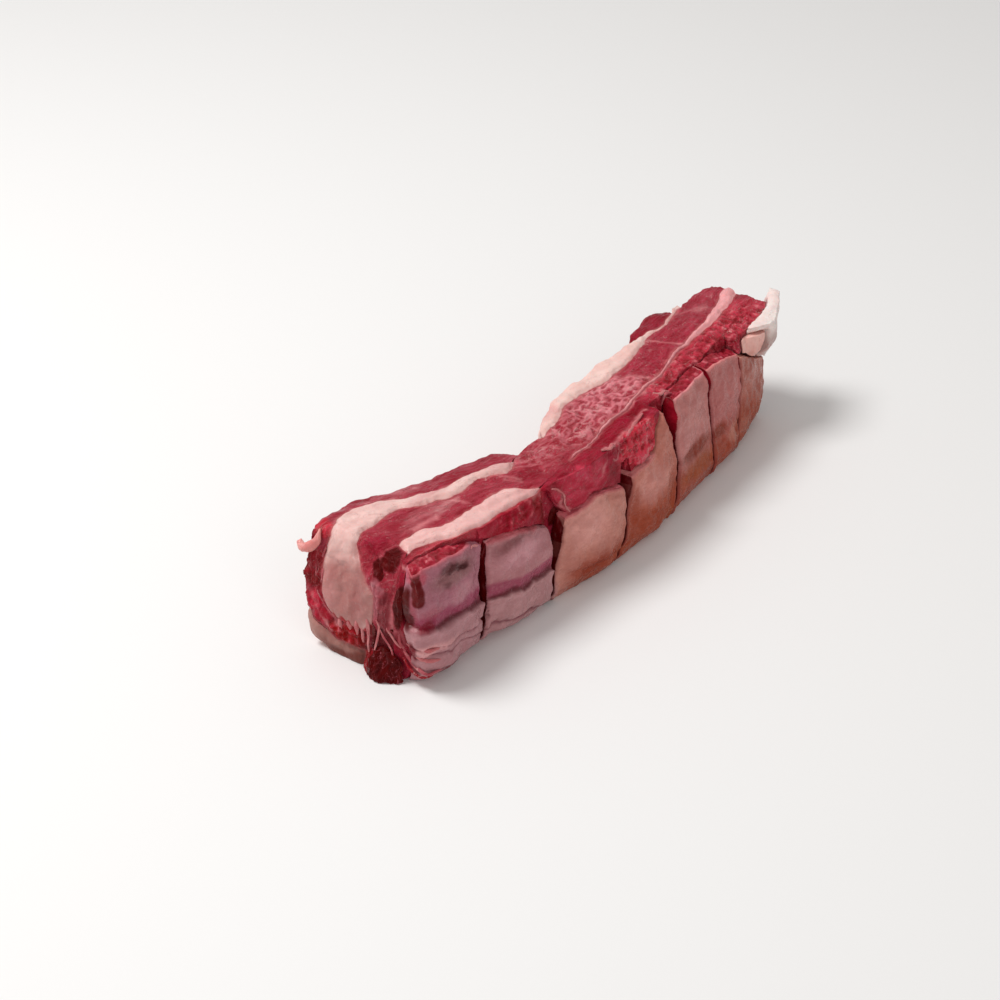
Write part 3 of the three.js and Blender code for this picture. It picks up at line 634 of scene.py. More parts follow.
def streaked(tint, points, normals):
    """Fibres: light and dark streaks along the strip, and down the front cut."""
    front = (ramp(-normals[:, 0], 0.5, 0.8) * ramp(-points[:, 0], -30, -15))[:, None]
    grain = bent(points) / [15, 2.1, 6] * (1 - front) + points / [4, 2.4, 14] * front
    light, dark = ridged(grain, 1.0, 120), ridged(grain, 1.3, 122)
    soft = ramp(layered(points, [16, 7, 10], 124), -0.3, 0.6)
    blend(tint, 0.5 * soft * ramp(light, 0.5, 1), np.minimum(tint * [1.3, 2.4, 2.1], 0.8))
    blend(tint, 0.6 * (1 - 0.6 * soft) * ramp(dark, 0.45, 1), tint * [0.72, 0.42, 0.46])


def paint_meat(form, raw, spongy):
    name, points, normals = form["name"], form["points"], form["outward"]
    wobble = drift(points, 9, 90, layered)
    places = points + 2.2 * wobble
    base, marble = MEAT_BASE[name]
    tint = np.tile(base, (len(points), 1))
    marble = np.full(len(points), marble)
    for code, light, amount, *spots in MEAT_SPOTS[name]:
        mask = inside(places, spots)
        paint(tint, mask, code, light)
        marble += mask * (amount - marble)
    # Out of sight the cut faces look like the ones in view.
    back = ramp(normals[:, 0], 0.5, 0.8) * ramp(points[:, 0], 300, 320)
    paint(tint, 0.6 * back, "9c3040", FRONT)
    low = ramp(-normals[:, 2], 0.4, 0.8)
    paint(tint, low, "8c2a38", RIB)
    blotch = layered(bent(points), [10, 5, 7], 130)
    blend(tint, 0.4 * ramp(blotch, 0.1, 0.7), np.minimum(tint * [1.35, 2.2, 2.0], 0.8))
    blend(tint, 0.45 * ramp(-blotch, 0.1, 0.7), tint * [0.8, 0.5, 0.54])
    streaked(tint, points, normals)
    net = ridged(bent(points), SPECK, 76)
    paint(tint, 0.7 * spongy * ramp(net, 0.45, 0.9), "f4a4ac")
    paint(tint, 0.75 * spongy * ramp(1 - net, 0.5, 0.95), "9c2638")
    grains_with_painted_light(tint, points, raw)
    # Fat frays into the meat beside it.
    beside = 1 - ramp(form["to_fat"] + 1.1 * layered(bent(points), [9, 2.5, 5], 96), 0.1, 1.6)
    paint(tint, 0.5 * beside, "d58a88")
    lines = np.zeros(len(points))
    for start, end, width, strength in TISSUE_LINES:
        far, _ = to_line(points + 0.9 * wobble, start, end)
        lines = np.maximum(lines, strength * np.exp(-((far / width) ** 2)))
    if name != "front_flap":
        paint(tint, lines, "e2979a")
    return tint, marble, 0.4 + 0.6 * raw


FAT_BASE = {
    "lower_edge_fat": seen("c39388", FRONT), "outer_fat_front": seen("f2cac3"),
    "outer_fat_back": seen("f8d2c9"), "inner_fat_front": seen("f4c4bf"),
    "inner_fat_back": seen("f8b0b1"), "back_fat_lower": seen("fcc8bd"),
    "back_fat_upper": seen("fff0ea"), "front_fat_curl": seen("f4a9a3"),
}
FAT_SPOTS = {
    "outer_fat_front": (
        # The slab on the front cut: the fat's own pinker tone, and painted shade.
        ("b27873", FRONT, (-2, 54, 42, 11, 26, 27, 1)),
        ("a86a67", FRONT, (0, 40, 40, 8, 5, 20, 0.7), (0, 48, 64, 9, 5, 6, 0.7)),
        ("c88a87", FRONT, (0, 61, 38, 8, 6, 14, 0.8)),
        ("dca09f", TOP, (66, 45, 70, 30, 4, 6, 0.6), (110, 30, 70, 10, 6, 8, 0.6)),
    ),
    "lower_edge_fat": (
        # Painted shadow and an orange reflection at the foot of the front cut.
        ("71382f", FRONT, (-2, 46, 4, 14, 20, 12, 1), (2, 62, 4, 14, 14, 6, 0.9)),
        ("b4857c", FRONT, (-2, 74, 11, 12, 10, 9, 1), (-2, 52, 8, 10, 12, 3, 0.6)),
    ),
    "inner_fat_front": (
        ("dc9a98", TOP, (102, 3, 70, 12, 6, 8, 0.6)),
    ),
    "outer_fat_back": (
        ("e5a29f", TOP, (168, 42, 66, 9, 8, 10, 0.6), (300, 47, 70, 22, 6, 8, 0.6)),
    ),
    "back_fat_lower": (
        ("c8958a", RIB, (314, -4, 55, 12, 4, 7, 0.7)),
    ),
    "back_fat_upper": (
        # Painted shade on the lump's side below its top, away from the light.
        ("a08883", RIB, (338, -4, 53, 24, 14, 13, 0.9)),
    ),
    "front_fat_curl": (
        ("d0605e", TOP, (0, 73, 62, 5, 3, 4, 0.5)),
    ),
}


def paint_fat(form):
    name, points = form["name"], form["points"]
    places = points + 2.0 * drift(points, 10, 90, layered)
    tint = np.tile(FAT_BASE[name], (len(points), 1))
    for code, light, *spots in FAT_SPOTS.get(name, ()):
        paint(tint, inside(places, spots, FAT_BLUR), code, light)
    bands = ramp(layered(points, [14, 3.4, 40], 101), -0.1, 0.6) * ramp(-points[:, 0], -9, -3)
    blend(tint, 0.35 * bands, tint * [0.86, 0.66, 0.66])
    # Painted shade on the faces that look down.
    low = ramp(-form["outward"][:, 2], 0.3, 0.8)
    paint(tint, 0.8 * low, "b98a82", RIB)
    edge = 1 - ramp(form["border"] + 0.8 * layered(bent(points), [7, 2.5, 5], 97), 0.0, 1.3)
    ragged = form["border"] + 2.6 * layered(points, [16, 8, 7], 135)
    ragged = (1 - ramp(ragged, 0.6, 2.2)) * ramp(form["outward"][:, 1], 0.5, 0.8)
    paint(tint, 0.9 * ragged, "a03446")
    if name == "inner_fat_back":
        # The seam tapers out between the meats.
        thin = ramp(-points[:, 0], -300, -270)
        paint(tint, 0.9 * thin * (1 - ramp(form["border"], 0.5, 1.3)), "a83c4a")
    elif not name.startswith("back_fat"):
        paint(tint, 0.5 * edge, "c8666c")
    if name == "outer_fat_front":
        # Ragged where the slab ends over the meat that turns in beneath it.
        tatters = ramp(-points[:, 2] - 7 * noise(points, [9, 4.5, 30], 134), -25, -23.5)
        paint(tint, tatters * ramp(-points[:, 0], -9, -4), "a02029", FRONT)
    marble = 0.05 + 0.3 * edge + 0.1 * ramp(layered(points, 14, 98), 0.1, 0.7)
    return tint, marble, np.full(len(points), 0.3)


# Two tones of each section: its skin, and its rim with the thin top where no meat shows.
SKIN_TONES = dict(zip(SKIN, (
    ("93606a", "b35e66"), ("9a6a6d", "c2686f"), ("a97267", "c4686f"), ("a6685c", "d88685"),
    ("a8706c", "dd8488"), ("a06360", "d08080"), ("985e54", "b88478"),
)))
# Patches on the skin: a dark grey patch with dark streaks, dark spots, the corner of the first
# section, pale patches (on the first two sections a painted sheen), and the browner lower edge,
# which is partly the skin's own tone and partly a painted orange reflection from below.
SKIN_SPOTS = (
    ("7a5455", (29, -4, 57, 17, 14, 6, 0.9)),
    ("3c1a1c",
        (23, -4, 61.8, 6, 14, 1.7, 0.6), (29, -4, 59.8, 6, 14, 1.9, 0.85),
        (35, -4, 57.6, 6, 14, 1.8, 0.9), (21, -4, 53, 3, 14, 2.2, 0.5)),
    ("73484a", (76, -4, 51.5, 14, 14, 2.4, 0.8)),
    # Painted sheen on the glossy skin of the first two sections.
    ("b8868d", (34, -10, 45, 11, 14, 4, 0.4), (78, -12, 44, 18, 14, 6, 0.5)),
    ("a34a58", (5, 5, 64, 6, 9, 4, 0.9)),
    ("8a3a46", (0, 7, 44, 4, 4, 9, 0.7), (9, 0, 43, 8, 5, 4, 0.4)),
    ("6a1a26", (4, -1, 37.5, 6, 5, 2.6, 0.9)),
    ("b98686", (2.5, -2, 24, 6, 4, 3.6, 0.9), (14, -4, 24, 9, 6, 2.4, 0.6)),
    ("5e1720",
        (0, 5.4, 22, 4, 3.2, 5, 0.9), (0.5, 6, 10, 4, 4, 6, 0.9),
        (18, -5, 6.5, 12, 8, 3.4, 0.7)),
    ("c38d86", (130, -20, 40, 18, 16, 14, 0.6), (190, -16, 34, 14, 16, 10, 0.4)),
    # The browner lower edge: the skin's own tone and a painted orange reflection from below.
    ("7c2e12",
        (132, -22, 12, 22, 16, 5, 0.7), (170, -20, 28, 7, 16, 12, 0.4),
        (192, -18, 12, 20, 16, 6, 0.15)),
    ("6e2a18", (240, -10, 30.5, 17, 16, 4.5, 0.8), (268, -6, 27.5, 9, 16, 4, 0.8)),
    ("8a4426", (240, -12, 19, 20, 16, 6, 0.8), (206, -14, 8, 10, 16, 4, 0.4)),
    ("a2685a", (284, -8, 20, 7, 16, 6, 0.8), (300, -6, 14, 9, 16, 5, 0.5)),
)
# The maroon lens at the front corner of the first section.
CORNER_LENS = (
    (4.0, 7.0, 66, 2.8, 3.4, 3.6, 1), (2.6, 5.0, 61.5, 3.2, 3.6, 4.4, 1),
    (2.2, 3.8, 56.5, 4.2, 4.2, 4.6, 1), (2.4, 3.2, 52.6, 3.8, 3.6, 3.6, 1),
)
# The darker hollow beside it.
CORNER_HOLLOW = ((1, 10.5, 48, 5, 3.4, 11, 1), (0, 8, 40, 4, 2.8, 6, 0.9))
# Colour across the folds: the paler skin below the crease, and painted shade as a dark line in the
# crease and a magenta band over it. Columns: colour, lowest and highest place over the crease,
# strength.
FOLD_TONES_AND_SHADE = (
    ("a0797a", (-36, -0.6), 0.65), ("7f3048", (0.3, 6.5), 0.8), ("4a0f1c", (-0.6, 0.8), 0.8),
)
FAT_BLUR, SKIN_BLUR = 0.5, 0.45  # how soft the borders of spots are
# Painted shade in the grooves of the folds.
GROOVE_SHADE = seen("5a222c", RIB)  # in the creases of the folds
BARE_TOPS = ("rib_section_1", "rib_section_5", "rib_section_6")  # meat shows on top of these


def paint_skin(form, skin):
    points, above = form["points"], form["above"]
    wobble = drift(points, 10, 90, layered)
    places = points + 2.4 * wobble
    skin_tone, rim_tone = (seen(code, RIB) for code in SKIN_TONES[form["name"]])
    tint = np.tile(skin_tone, (len(points), 1))
    cloudy = ramp(layered(points, [22, 22, 16], 136), -0.6, 0.6)[:, None]
    tint = tint * (1 - [0.05, 0.09, 0.08] * cloudy)
    back = ramp(points[:, 0], 150, 175)
    # Browner towards the bottom: partly the skin's own tone, partly a painted orange reflection
    # from below.
    brown_and_reflection = ramp(-places[:, 2] - 4 * layered(points, [14, 14, 9], 99) + 12 * back, -26, -4)
    paint(tint, brown_and_reflection * ramp(points[:, 0], 105, 125) * 0.8, "84351a", RIB)
    # Each fold: the paler skin below the crease, painted shade in and over the crease, and painted
    # shade in its grooves.
    for *line, profile in FOLDS:
        across, along = across_fold(points, *line)
        here = ramp(along, -0.08, 0) * ramp(-along, -1.06, -1)
        for code, (under, over), strength in FOLD_TONES_AND_SHADE:
            band = ramp(across, under - 0.8, under + 0.8) * ramp(-across, -over - 2.5, -over + 0.5)
            paint(tint, here * strength * band, code, RIB)
        tall = np.interp(across, *np.array(profile, float).T)
        blend(tint, here * 0.7 * ramp(-tall, 0.2, 0.8) * (across < -2), GROOVE_SHADE)
    for code, *spots in SKIN_SPOTS:
        paint(tint, inside(points + 2.2 * wobble, spots, SKIN_BLUR), code, RIB)
    lens = inside(points + 0.8 * wobble, CORNER_LENS)
    paint(tint, lens, "660c1c", FRONT)
    hollow = inside(points + 0.8 * wobble, CORNER_HOLLOW, 0.3)
    paint(tint, hollow, "551119", FRONT)
    rim = np.exp(-((form["to_top"] / 1.5) ** 2)) * ramp(points[:, 2], 20, 40)
    blend(tint, 0.85 * rim, rim_tone)
    paint(tint, 0.4 * np.exp(-((form["to_cut"] / 1.3) ** 2)) * (1 - rim), "7c4044", RIB)
    # Painted shade: a dark line in the hairline between neighbouring sections.
    paint(tint, 0.9 * np.exp(-((form["to_next"] / 0.8) ** 2)), "3a090c", RIB)
    # The cut walls: dark red, with painted shade deep in the cut and painted light towards its
    # top, more of that light further back along the strip.
    wall = np.tile(seen("4a060c", RIB), (len(points), 1))
    lit = ramp(points[:, 2] + 6 * layered(points, 6, 100), 32, 66)
    lit *= 0.3 + 0.6 * ramp(points[:, 0], 60, 100)
    paint(wall, lit, "7e1c26", RIB)
    if form["name"] in BARE_TOPS:
        paint(wall, above, "a52c3b")
        # Painted highlight and shade on the grains of the bare top.
        grains_with_painted_light(wall, points, 0.75 * above)
    else:
        blend(wall, above, rim_tone)
        paint(wall, 0.6 * above * ramp(layered(points, 5, 133), 0, 0.5), "8f2733", RIB)
    tint = wall + skin[:, None] * (tint - wall)
    marble = 0.12 * np.maximum(skin, above) * (1 - np.maximum(lens, hollow)) * (1 - 0.6 * brown_and_reflection)
    return tint, marble, np.full(len(points), 0.7)


# ---- Forms ----------------------------------------------------------------------------------


def to_places(points, places):
    """Distance from each point to the nearest of some places."""
    tree = KDTree(len(places) + 1)
    tree.insert((0, 0, -1000), 0)
    for index, place in enumerate(places.tolist()):
        tree.insert(place, index + 1)
    tree.balance()
    return np.array([tree.find(point)[2] for point in points.tolist()])


def dress(name):
    """The refined, rounded and wrinkled copy of a CAD node, with its paint."""
    points, triangles = refined(ALL, *ARRAYS[name])
    others = tree_of(ARRAYS, name)
    fats = tree_of(FAT, name)
    seen_faces = shows(ALL, points, triangles, SAMPLES[:1])
    outward = vertex_normals(points, triangles, seen_faces)
    shown = np.zeros(len(points), bool)
    shown[triangles[seen_faces]] = True
    border = distances(others, points, BORDER_REACH)
    form = {
        "name": name, "points": points, "triangles": triangles, "seen": seen_faces,
        "outward": outward, "border": border, "to_fat": distances(fats, points, BORDER_REACH),
    }
    shift, normal, depth = from_proxy(points)
    near = np.exp(-((depth / ROUNDED_DEPTH) ** 2))[:, None]
    height = 0.7 * (ramp(border, 0, 3.5) - 0.6)
    clear = ramp(border, 0, 2.5)
    if name in SKIN:
        cut = ramp(np.abs(outward[:, 0]) - 1.2 * np.abs(outward[:, 1]), 0.1, 0.35)
        cut *= 1 - ramp(outward[:, 2], 0.4, 0.6)
        if name == "rib_section_1":
            cut *= outward[:, 0] > 0
        above = ramp(outward[:, 2], 0.8, 0.93)
        skin = 1 - np.maximum(cut, above)
        real = shown & (points[:, 2] > SOLE)
        form["above"] = above
        form["to_top"] = to_places(points, points[real & (above > 0.6)])
        form["to_cut"] = to_places(points, points[real & (cut > 0.6)])
        form["to_next"] = distances(tree_of(SKIN, name), points, NEXT_REACH)
        height += skin_relief(points, skin, np.minimum(form["to_top"], form["to_cut"]))
        height += (1 - skin) * clear * 0.4 * layered(points, [5, 4, 5], 77)
        if name in BARE_TOPS:
            height += above * clear * 1.2 * layered(points, GRAIN, 74)
        coat = paint_skin(form, skin)
    elif name in FAT:
        height += fat_relief(points, border)
        coat = paint_fat(form)
    else:
        raw, spongy = inside(points, RAW_SPOTS), inside(points, SPONGY_SPOTS)
        height += clear * meat_relief(points, outward, raw, spongy)
        coat = paint_meat(form, raw, spongy)
    form["tint"], form["marble"], form["wet"] = coat
    height += common_relief(points)
    hidden = vertex_normals(points, triangles, ~seen_faces) * CLOSE_GAP
    moved = points + warp(points) + near * (shift + normal * height[:, None])
    moved += np.where(shown[:, None], 0.4, 1) * hidden
    moved[:, 2] = np.maximum(moved[:, 2], 0)
    form["moved"] = moved
    return form


STRAND_SIDES, STRAND_RINGS = 8, 14
FLATNESS = 0.7  # how thick a strand is against its width


def sweep(path, radii, facing, sides=STRAND_SIDES):
    """A closed, tapered, flattened string along a path of points."""
    path, radii = np.array(path, float), np.array(radii, float)
    way = np.gradient(path, axis=0)
    way /= np.linalg.norm(way, axis=1, keepdims=True)
    across = np.cross(way, facing)
    across /= np.linalg.norm(across, axis=1, keepdims=True)
    up = np.cross(across, way)
    turn = np.linspace(0, 2 * np.pi, sides, endpoint=False)
    rings = path[:, None, :] + radii[:, None, None] * (
        np.cos(turn)[None, :, None] * across[:, None, :]
        + np.sin(turn)[None, :, None] * FLATNESS * up[:, None, :])
    points = rings.reshape(-1, 3)
    faces = []
    for ring in range(len(path) - 1):
        for side in range(sides):
            a, b = ring * sides + side, ring * sides + (side + 1) % sides
            faces += [(b, a, b + sides), (a, a + sides, b + sides)]
    first, last = len(points), len(points) + 1
    end = (len(path) - 1) * sides
    for side in range(sides):
        other = (side + 1) % sides
        faces += [(first, side, other), (last, end + other, end + side)]
    points = np.concatenate([points, path[:1], path[-1:]])
    return points, np.array(faces)


def curve(points, count):
    """A smooth curve through a few points."""
    points = np.array(points, float)
    before, after = 2 * points[:1] - points[1:2], 2 * points[-1:] - points[-2:-1]
    padded = np.concatenate([before, points, after])
    spans = len(points) - 1
    made = []
    for t in np.linspace(0, spans, count):
        n = min(int(t), spans - 1)
        u = t - n
        a, b, c, d = padded[n:n + 4]
        made.append(0.5 * (2 * b + (c - a) * u + (2 * a - 5 * b + 4 * c - d) * u**2
                           + (3 * b - a - 3 * c + d) * u**3))
    return np.array(made)


LAND_FROM, LAND_REACH = 60, 140  # where the search for the face starts, and how far it goes


def land(spot, way):
    """The spot moved to where the strip's CAD face lies along that way."""
    start = Vector(spot) - Vector(way) * LAND_FROM
    hit = ALL.ray_cast(start, Vector(way), LAND_REACH)[0]
    return np.array(hit if hit else spot)


INTO_FRONT, INTO_RIB, INTO_TOP = (1, 0, 0), (0, 1, 0), (0, 0, -1)
INTO_CORNER = (0.75, 0.66, 0)
PALE, PINK, RED, DARK = (seen(code, FRONT) for code in ("cc8384", "b35e65", "a02a34", "5a0d14"))
# Loose bits, by the way into the face that they lie on: places near that face, half width, how
# far they stand off it, colour.
STRANDS = (
    (INTO_FRONT, (
        (((0, 37, 36), (0, 34.5, 30), (0, 34, 22), (0, 32, 12)), 0.9, 0.7, PALE),
        (((0, 35, 40), (0, 34.6, 32), (0, 33.2, 25), (0, 34, 17)), 0.7, 0.5, PALE),
        (((0, 28, 33), (0, 26.5, 29), (0, 28, 21), (0, 28.5, 15)), 0.8, 0.7, PALE),
        (((0, 22, 33), (0, 21, 29), (0, 17, 24), (0, 14, 20)), 0.8, 0.6, PALE),
        (((0, 27, 29), (0, 24, 24), (0, 19, 18), (0, 17, 12)), 0.7, 0.6, PINK),
        (((0, 42, 27), (0, 41.6, 23), (0, 41, 18)), 1.4, 0.3, PALE),
        (((0, 47, 25), (0, 46.5, 22), (0, 46, 18.5)), 1.6, 0.2, PALE),
        (((0, 38.5, 26), (0, 38, 21), (0, 37.6, 15)), 1.1, 0.4, PALE),
        (((0, 53, 23), (0, 52.6, 20), (0, 52.4, 17)), 1.5, 0.2, PALE),
        (((0, 15, 29), (0, 14, 23), (0, 11, 17)), 1.0, 0.5, PINK),
        (((0, 30.5, 30), (0, 30, 23), (0, 31, 15)), 1.1, 0.3, DARK),
        (((0, 19, 30), (0, 18.5, 24), (0, 15, 17)), 1.0, 0.5, DARK),
        (((0, 67, 58), (0, 67.5, 52), (0, 66, 44)), 0.9, 0.4, PINK),
        (((0, 70.5, 57), (0, 70.5, 50), (0, 69, 43)), 0.8, 0.4, PINK),
        (((0, 64.5, 52), (0, 65, 46), (0, 65.5, 40)), 0.8, 0.3, PINK),
        (((0, 58, 24), (0, 63, 28), (0, 68, 35)), 0.8, 0.3, PINK),
    )),
    (INTO_CORNER, (
        (((0, 9, 24), (1.5, 3, 20), (6, -2, 17.5), (12, -4, 16)), 1.2, 0.4, PALE),
        (((0, 11, 19), (1, 6, 14), (5, 1, 11), (12, -3, 9)), 1.1, 0.5, PINK),
        (((0, 12, 14), (1, 7, 9), (4, 2, 6), (9, -1, 4)), 1.1, 0.6, RED),
        (((0, 8, 29), (1, 3, 26.5), (5, -1, 24), (11, -3, 23)), 1.4, 0.3, PALE),
    )),
    (INTO_TOP, (
        (((154, -5, 70), (158, -7.4, 70), (162, -6.5, 70), (163, -8.5, 70)), 1.3, 0.7, PALE),
        (((158, -8.5, 70), (162, -9, 70), (167, -7, 70)), 1.2, 0.5, PINK),
        (((176, -7, 70), (188, -3.5, 70), (200, -1, 70)), 1.2, 0.3, PALE),
        (((221, 6, 70), (224, 3, 70), (227, 2.5, 70), (229, 0.5, 70)), 1.3, 0.6, PALE),
        (((223, 2, 70), (226, 0.5, 70), (229, -1, 70)), 1.1, 0.5, PINK),
    )),
    (INTO_RIB, (
        (((46, 0, 61), (49, 0, 61.5), (53, 0, 60), (56, 0, 59)), 0.7, 0.3, PALE),
        (((111, 0, 66), (116, 0, 63), (119, 0, 58.5), (119, 0, 53), (122, 0, 48)), 0.7, 0.2, PALE),
    )),
)


def add_strands():
    meshes, tints = [], []
    strands = [(way, *strand) for way, rows in STRANDS for strand in rows]
    for number, (way, places, width, proud, colour) in enumerate(strands):
        spots = [land(place, way) for place in places]
        path = curve(np.array(spots) - np.array(way) * proud, STRAND_RINGS)
        path += 0.5 * drift(path, 6, 110)
        along = np.linspace(0, 1, len(path))
        radii = width * (0.25 + 0.75 * np.sin(np.pi * (0.12 + 0.8 * along)) ** 0.8)
        radii *= 1 + 0.3 * noise(path + number, 3, 5)
        meshes.append(sweep(path, radii, -np.array(way, float)))
        tints.append(np.tile(colour, (len(meshes[-1][0]), 1)))
    points, faces = joined(meshes)
    return {
        "name": "front_strands", "moved": points, "points": points, "triangles": faces,
        "seen": np.ones(len(faces), bool), "tint": np.concatenate(tints),
        "marble": np.full(len(points), 0.3), "wet": np.full(len(points), 0.7),
    }


# ---- Materials ------------------------------------------------------------------------------


class Graph:
    """Short calls for building a material's nodes."""

    def __init__(self, name):
        self.material = bpy.data.materials.new(name)
        self.material.use_nodes = True
        self.tree = self.material.node_tree
        self.shader = self.tree.nodes["Principled BSDF"]

    def node(self, kind, inputs=(), **settings):
        made = self.tree.nodes.new(kind)
        for key, value in settings.items():
            setattr(made, key, value)
        for key, value in dict(inputs).items():
            if isinstance(value, bpy.types.NodeSocket):
                self.tree.links.new(value, made.inputs[key])
            else:
                made.inputs[key].default_value = value
        return made

    def attribute(self, name, output):
        return self.node("ShaderNodeAttribute", attribute_name=name).outputs[output]

    def math(self, operation, a, b=0.0):
        return self.node("ShaderNodeMath", {0: a, 1: b}, operation=operation).outputs[0]

    def noise(self, places, size, detail=3.0, roughness=0.55, distortion=0.0):
        inverse = tuple(1 / s for s in size)
        scaled = self.node("ShaderNodeVectorMath", {0: places, 1: inverse}, operation="MULTIPLY")
        inputs = {"Vector": scaled.outputs[0], "Scale": 1.0, "Detail": detail,
                  "Roughness": roughness, "Distortion": distortion}
        return self.node("ShaderNodeTexNoise", inputs).outputs["Fac"]

    def step(self, value, low, high, to_low=0.0, to_high=1.0):
        inputs = {"Value": value, "From Min": low, "From Max": high, "To Min": to_low,
                  "To Max": to_high}
        made = self.node("ShaderNodeMapRange", inputs, interpolation_type="SMOOTHSTEP")
        return made.outputs["Result"]

    def mix(self, amount, a, b, kind="MIX"):
        made = self.node("ShaderNodeMix", {0: amount, 6: a, 7: b}, data_type="RGBA",
                         blend_type=kind)
        return made.outputs[2]

    def veins(self, places, size, width, distortion=0.6):
        """Thin wandering lines; width says how much of the surface they take."""
        away = self.math("ABSOLUTE", self.math("SUBTRACT", self.noise(
            places, size, 2.0, 0.5, distortion), 0.5))
        return self.step(away, self.math("MULTIPLY", width, 0.35), width, 1.0, 0.0)

    def set(self, socket, value):
        if isinstance(value, bpy.types.NodeSocket):
            self.tree.links.new(value, self.shader.inputs[socket])
        else:
            self.shader.inputs[socket].default_value = value


GLOW_RADIUS, GLOW_SCALE = (1.0, 0.35, 0.25), 0.0022  # light wanders furthest in red; in metres


def tissue(name, look):
    """Paint from the mesh, broken up by veins, flecks and pores at the tissue's own scale."""
    g = Graph(name)
    places = g.attribute("rest", "Vector")
    tint = g.attribute("tint", "Color")
    marble = g.attribute("marble", "Fac")
    wet = g.attribute("wet", "Fac")
    cloud = g.noise(places, look["cloud"], 4.0, 0.6)
    fine = g.noise(places, look["fine"], 3.0, 0.65)
    dark, bright = ((*look[key], 1) for key in ("dark", "bright"))
    shade = g.mix(g.step(cloud, 0.34, 0.66), dark, bright)
    colour = g.mix(1.0, tint, shade, "MULTIPLY")
    light = (*look["light"], 1)
    flecks = g.math("MULTIPLY", g.step(fine, 0.52, 0.72, 0.0, look["fleck"]),
                    g.step(marble, 0.02, 0.1))
    colour = g.mix(flecks, colour, light)
    width = g.math("MULTIPLY", marble, look["vein_width"])
    veins = g.veins(places, look["vein"], g.math("MULTIPLY", width, look["broad"]))
    thin = g.veins(places, look["thin"], width, 1.0)
    both = g.math("MAXIMUM", veins, thin)
    broken = g.step(g.noise(places, look["cloud"], 1.0), 0.40, 0.56, 0.25, 1.0)
    both = g.math("MULTIPLY", both, broken)
    vein_colour = (*look["vein_colour"], 1)
    colour = g.mix(g.math("MULTIPLY", both, look["vein_strength"]), colour, vein_colour)
    g.set("Base Color", colour)
    shine = g.step(fine, 0.35, 0.7, look["rough"] - 0.08, look["rough"] + 0.12)
    g.set("Roughness", g.math("SUBTRACT", shine, g.math("MULTIPLY", wet, 0.12)))
    g.set("Specular IOR Level", look["gloss"])
    g.set("Specular Tint", (*look["glint"], 1))
    g.set("Subsurface Weight", look["glow"])
    g.set("Subsurface Radius", GLOW_RADIUS)
    g.set("Subsurface Scale", GLOW_SCALE)
    relief = g.math("ADD", g.math("MULTIPLY", fine, 0.6), g.math("MULTIPLY", both, 0.3))
    bump = g.node("ShaderNodeBump", {"Strength": 0.9, "Distance": look["bump"], "Height": relief})
    g.set("Normal", bump.outputs[0])
    return g.material


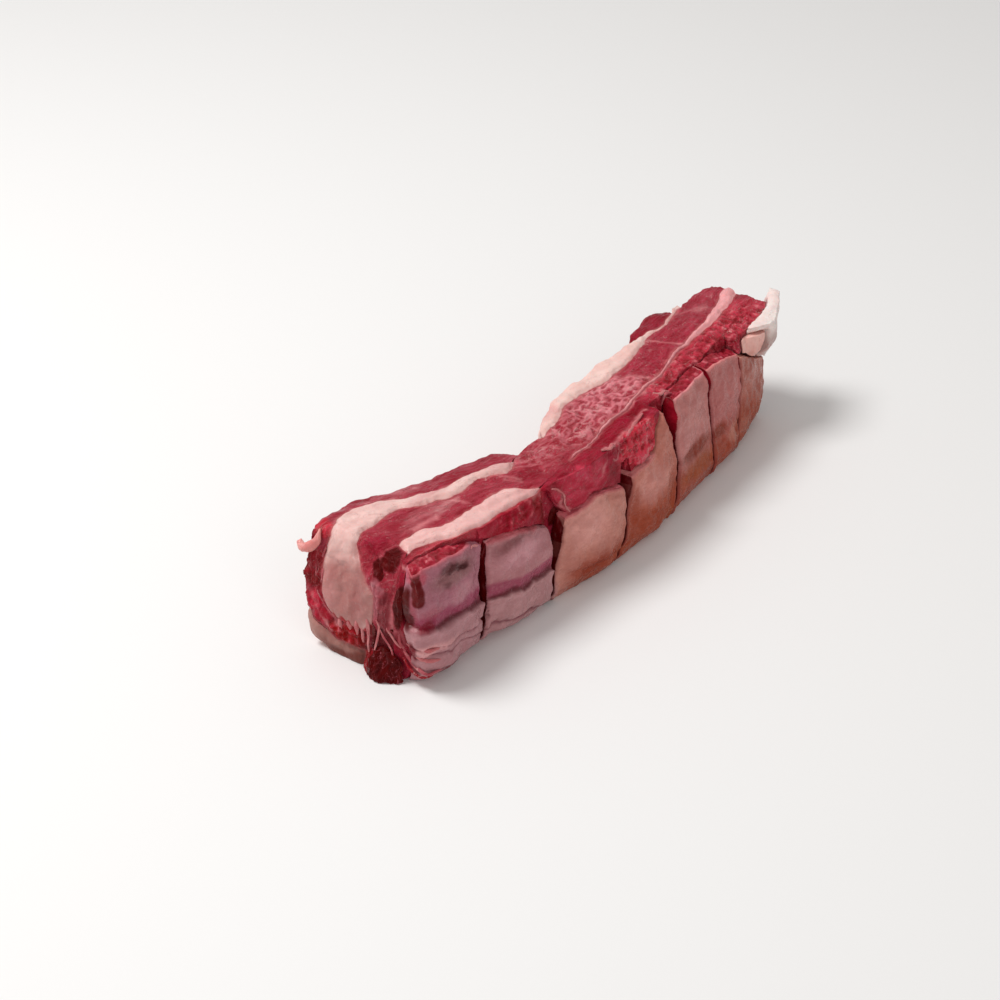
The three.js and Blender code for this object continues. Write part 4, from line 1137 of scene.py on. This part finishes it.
# The look of each slot: cloud, fine, vein and thin are sizes of patterns along x, y and z; dark
# and bright are what the clouds multiply the paint by; light colours the flecks.
RED_MEAT = dict(
    fleck=0.1, light=seen("dd7f83"), vein_colour=seen("dc9a99"),
    rough=0.4, gloss=0.14, glint=(1, 0.4, 0.42), glow=0.05)
LOOKS = {
    "meat": dict(
        RED_MEAT, cloud=(14, 6, 9), dark=(0.84, 0.56, 0.6), bright=(1.14, 1.12, 1.1),
        fine=(1.5, 1.3, 1.5), bump=0.0006,
        vein=(12, 5, 8), thin=(3.0, 2.1, 2.8), broad=0.45, vein_width=0.075, vein_strength=0.8),
    "outer_meat": dict(
        RED_MEAT, cloud=(16, 7, 10), dark=(0.86, 0.58, 0.62), bright=(1.12, 1.1, 1.1),
        fine=(2.0, 1.3, 2.0), bump=0.0005,
        vein=(13, 5, 12), thin=(11.0, 2.3, 6.0), broad=0.8, vein_width=0.07, vein_strength=0.36),
    "dark_meat": dict(
        cloud=(8, 8, 8), dark=(0.75, 0.5, 0.5), bright=(1.3, 1.3, 1.3),
        fine=(1.8, 1.6, 2.2), fleck=0.06, light=seen("b34a50"),
        vein=(7, 6, 12), thin=(3.4, 2.6, 5.0), broad=1.0, vein_width=0.1, vein_strength=0.6,
        vein_colour=seen("b8606a"),
        rough=0.3, gloss=0.14, glint=(1, 0.35, 0.35), glow=0.03, bump=0.0006),
    "fat": dict(
        cloud=(20, 9, 14), dark=(0.94, 0.85, 0.85), bright=(1.02, 1.03, 1.03),
        fine=(2.4, 1.8, 2.4), fleck=0.1, light=seen("ffe9e2"),
        vein=(16, 6, 12), thin=(7.0, 3.0, 8.0), broad=1.0, vein_width=0.05, vein_strength=0.5,
        vein_colour=seen("c0595f"),
        rough=0.46, gloss=0.3, glint=(1, 0.9, 0.88), glow=0.12, bump=0.0003),
    "rib_skin": dict(
        cloud=(11, 11, 7), dark=(0.9, 0.84, 0.84), bright=(1.07, 1.07, 1.07),
        fine=(2.2, 2.2, 1.6), fleck=0.08, light=seen("c9a29f", RIB),
        vein=(13, 13, 8), thin=(5.0, 5.0, 9.0), broad=1.0, vein_width=0.06, vein_strength=0.2,
        vein_colour=seen("7a3038", RIB),
        rough=0.36, gloss=0.17, glint=(1, 0.7, 0.7), glow=0.05, bump=0.0002),
}

# ---- Building -------------------------------------------------------------------------------


def put(mesh, name, kind, values):
    made = mesh.attributes.new(name, kind, "POINT")
    field = {"FLOAT": "value", "FLOAT_VECTOR": "vector", "FLOAT_COLOR": "color"}[kind]
    made.data.foreach_set(field, np.ascontiguousarray(values, np.float32).reshape(-1))


def crisp_edges(mesh, form):
    """Marks the edges between faces that show and faces that don't, and the steepest bends."""
    mesh.shade_smooth()
    mesh.set_sharp_from_angle(angle=SHARP_BEND)
    count = len(form["points"])
    sides = np.sort(form["triangles"][:, [[0, 1], [1, 2], [2, 0]]].reshape(-1, 2), axis=1)
    key = sides[:, 0] * count + sides[:, 1]
    flag = np.repeat(form["seen"], 3)
    both = np.intersect1d(key[flag], key[~flag])
    edges = np.sort(read(mesh.edges, "vertices", 2, int), axis=1)
    sharp = np.isin(edges[:, 0] * count + edges[:, 1], both)
    old = mesh.attributes["sharp_edge"] if "sharp_edge" in mesh.attributes else (
        mesh.attributes.new("sharp_edge", "BOOLEAN", "EDGE"))
    values = np.zeros(len(mesh.edges), bool)
    old.data.foreach_get("value", values)
    old.data.foreach_set("value", values | sharp)


def build(form, material, node=None):
    mesh = mesh_of(f"{form['name']}_form", form["moved"], form["triangles"])
    crisp_edges(mesh, form)
    put(mesh, "rest", "FLOAT_VECTOR", bent(form["points"]))
    put(mesh, "tint", "FLOAT_COLOR", np.c_[form["tint"], np.ones(len(form["tint"]))])
    put(mesh, "marble", "FLOAT", form["marble"])
    put(mesh, "wet", "FLOAT", form["wet"])
    piece = bpy.data.objects.new(f"{form['name']}_form", mesh)
    bpy.context.scene.collection.objects.link(piece)
    mesh.materials.append(material)
    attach(piece, "root")
    if node:
        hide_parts(node)


MATERIALS = {slot: tissue(slot, look) for slot, look in LOOKS.items()}
for node in sorted(ARRAYS):
    build(dress(node), MATERIALS[SLOT[node]], node)
build(add_strands(), MATERIALS["meat"])
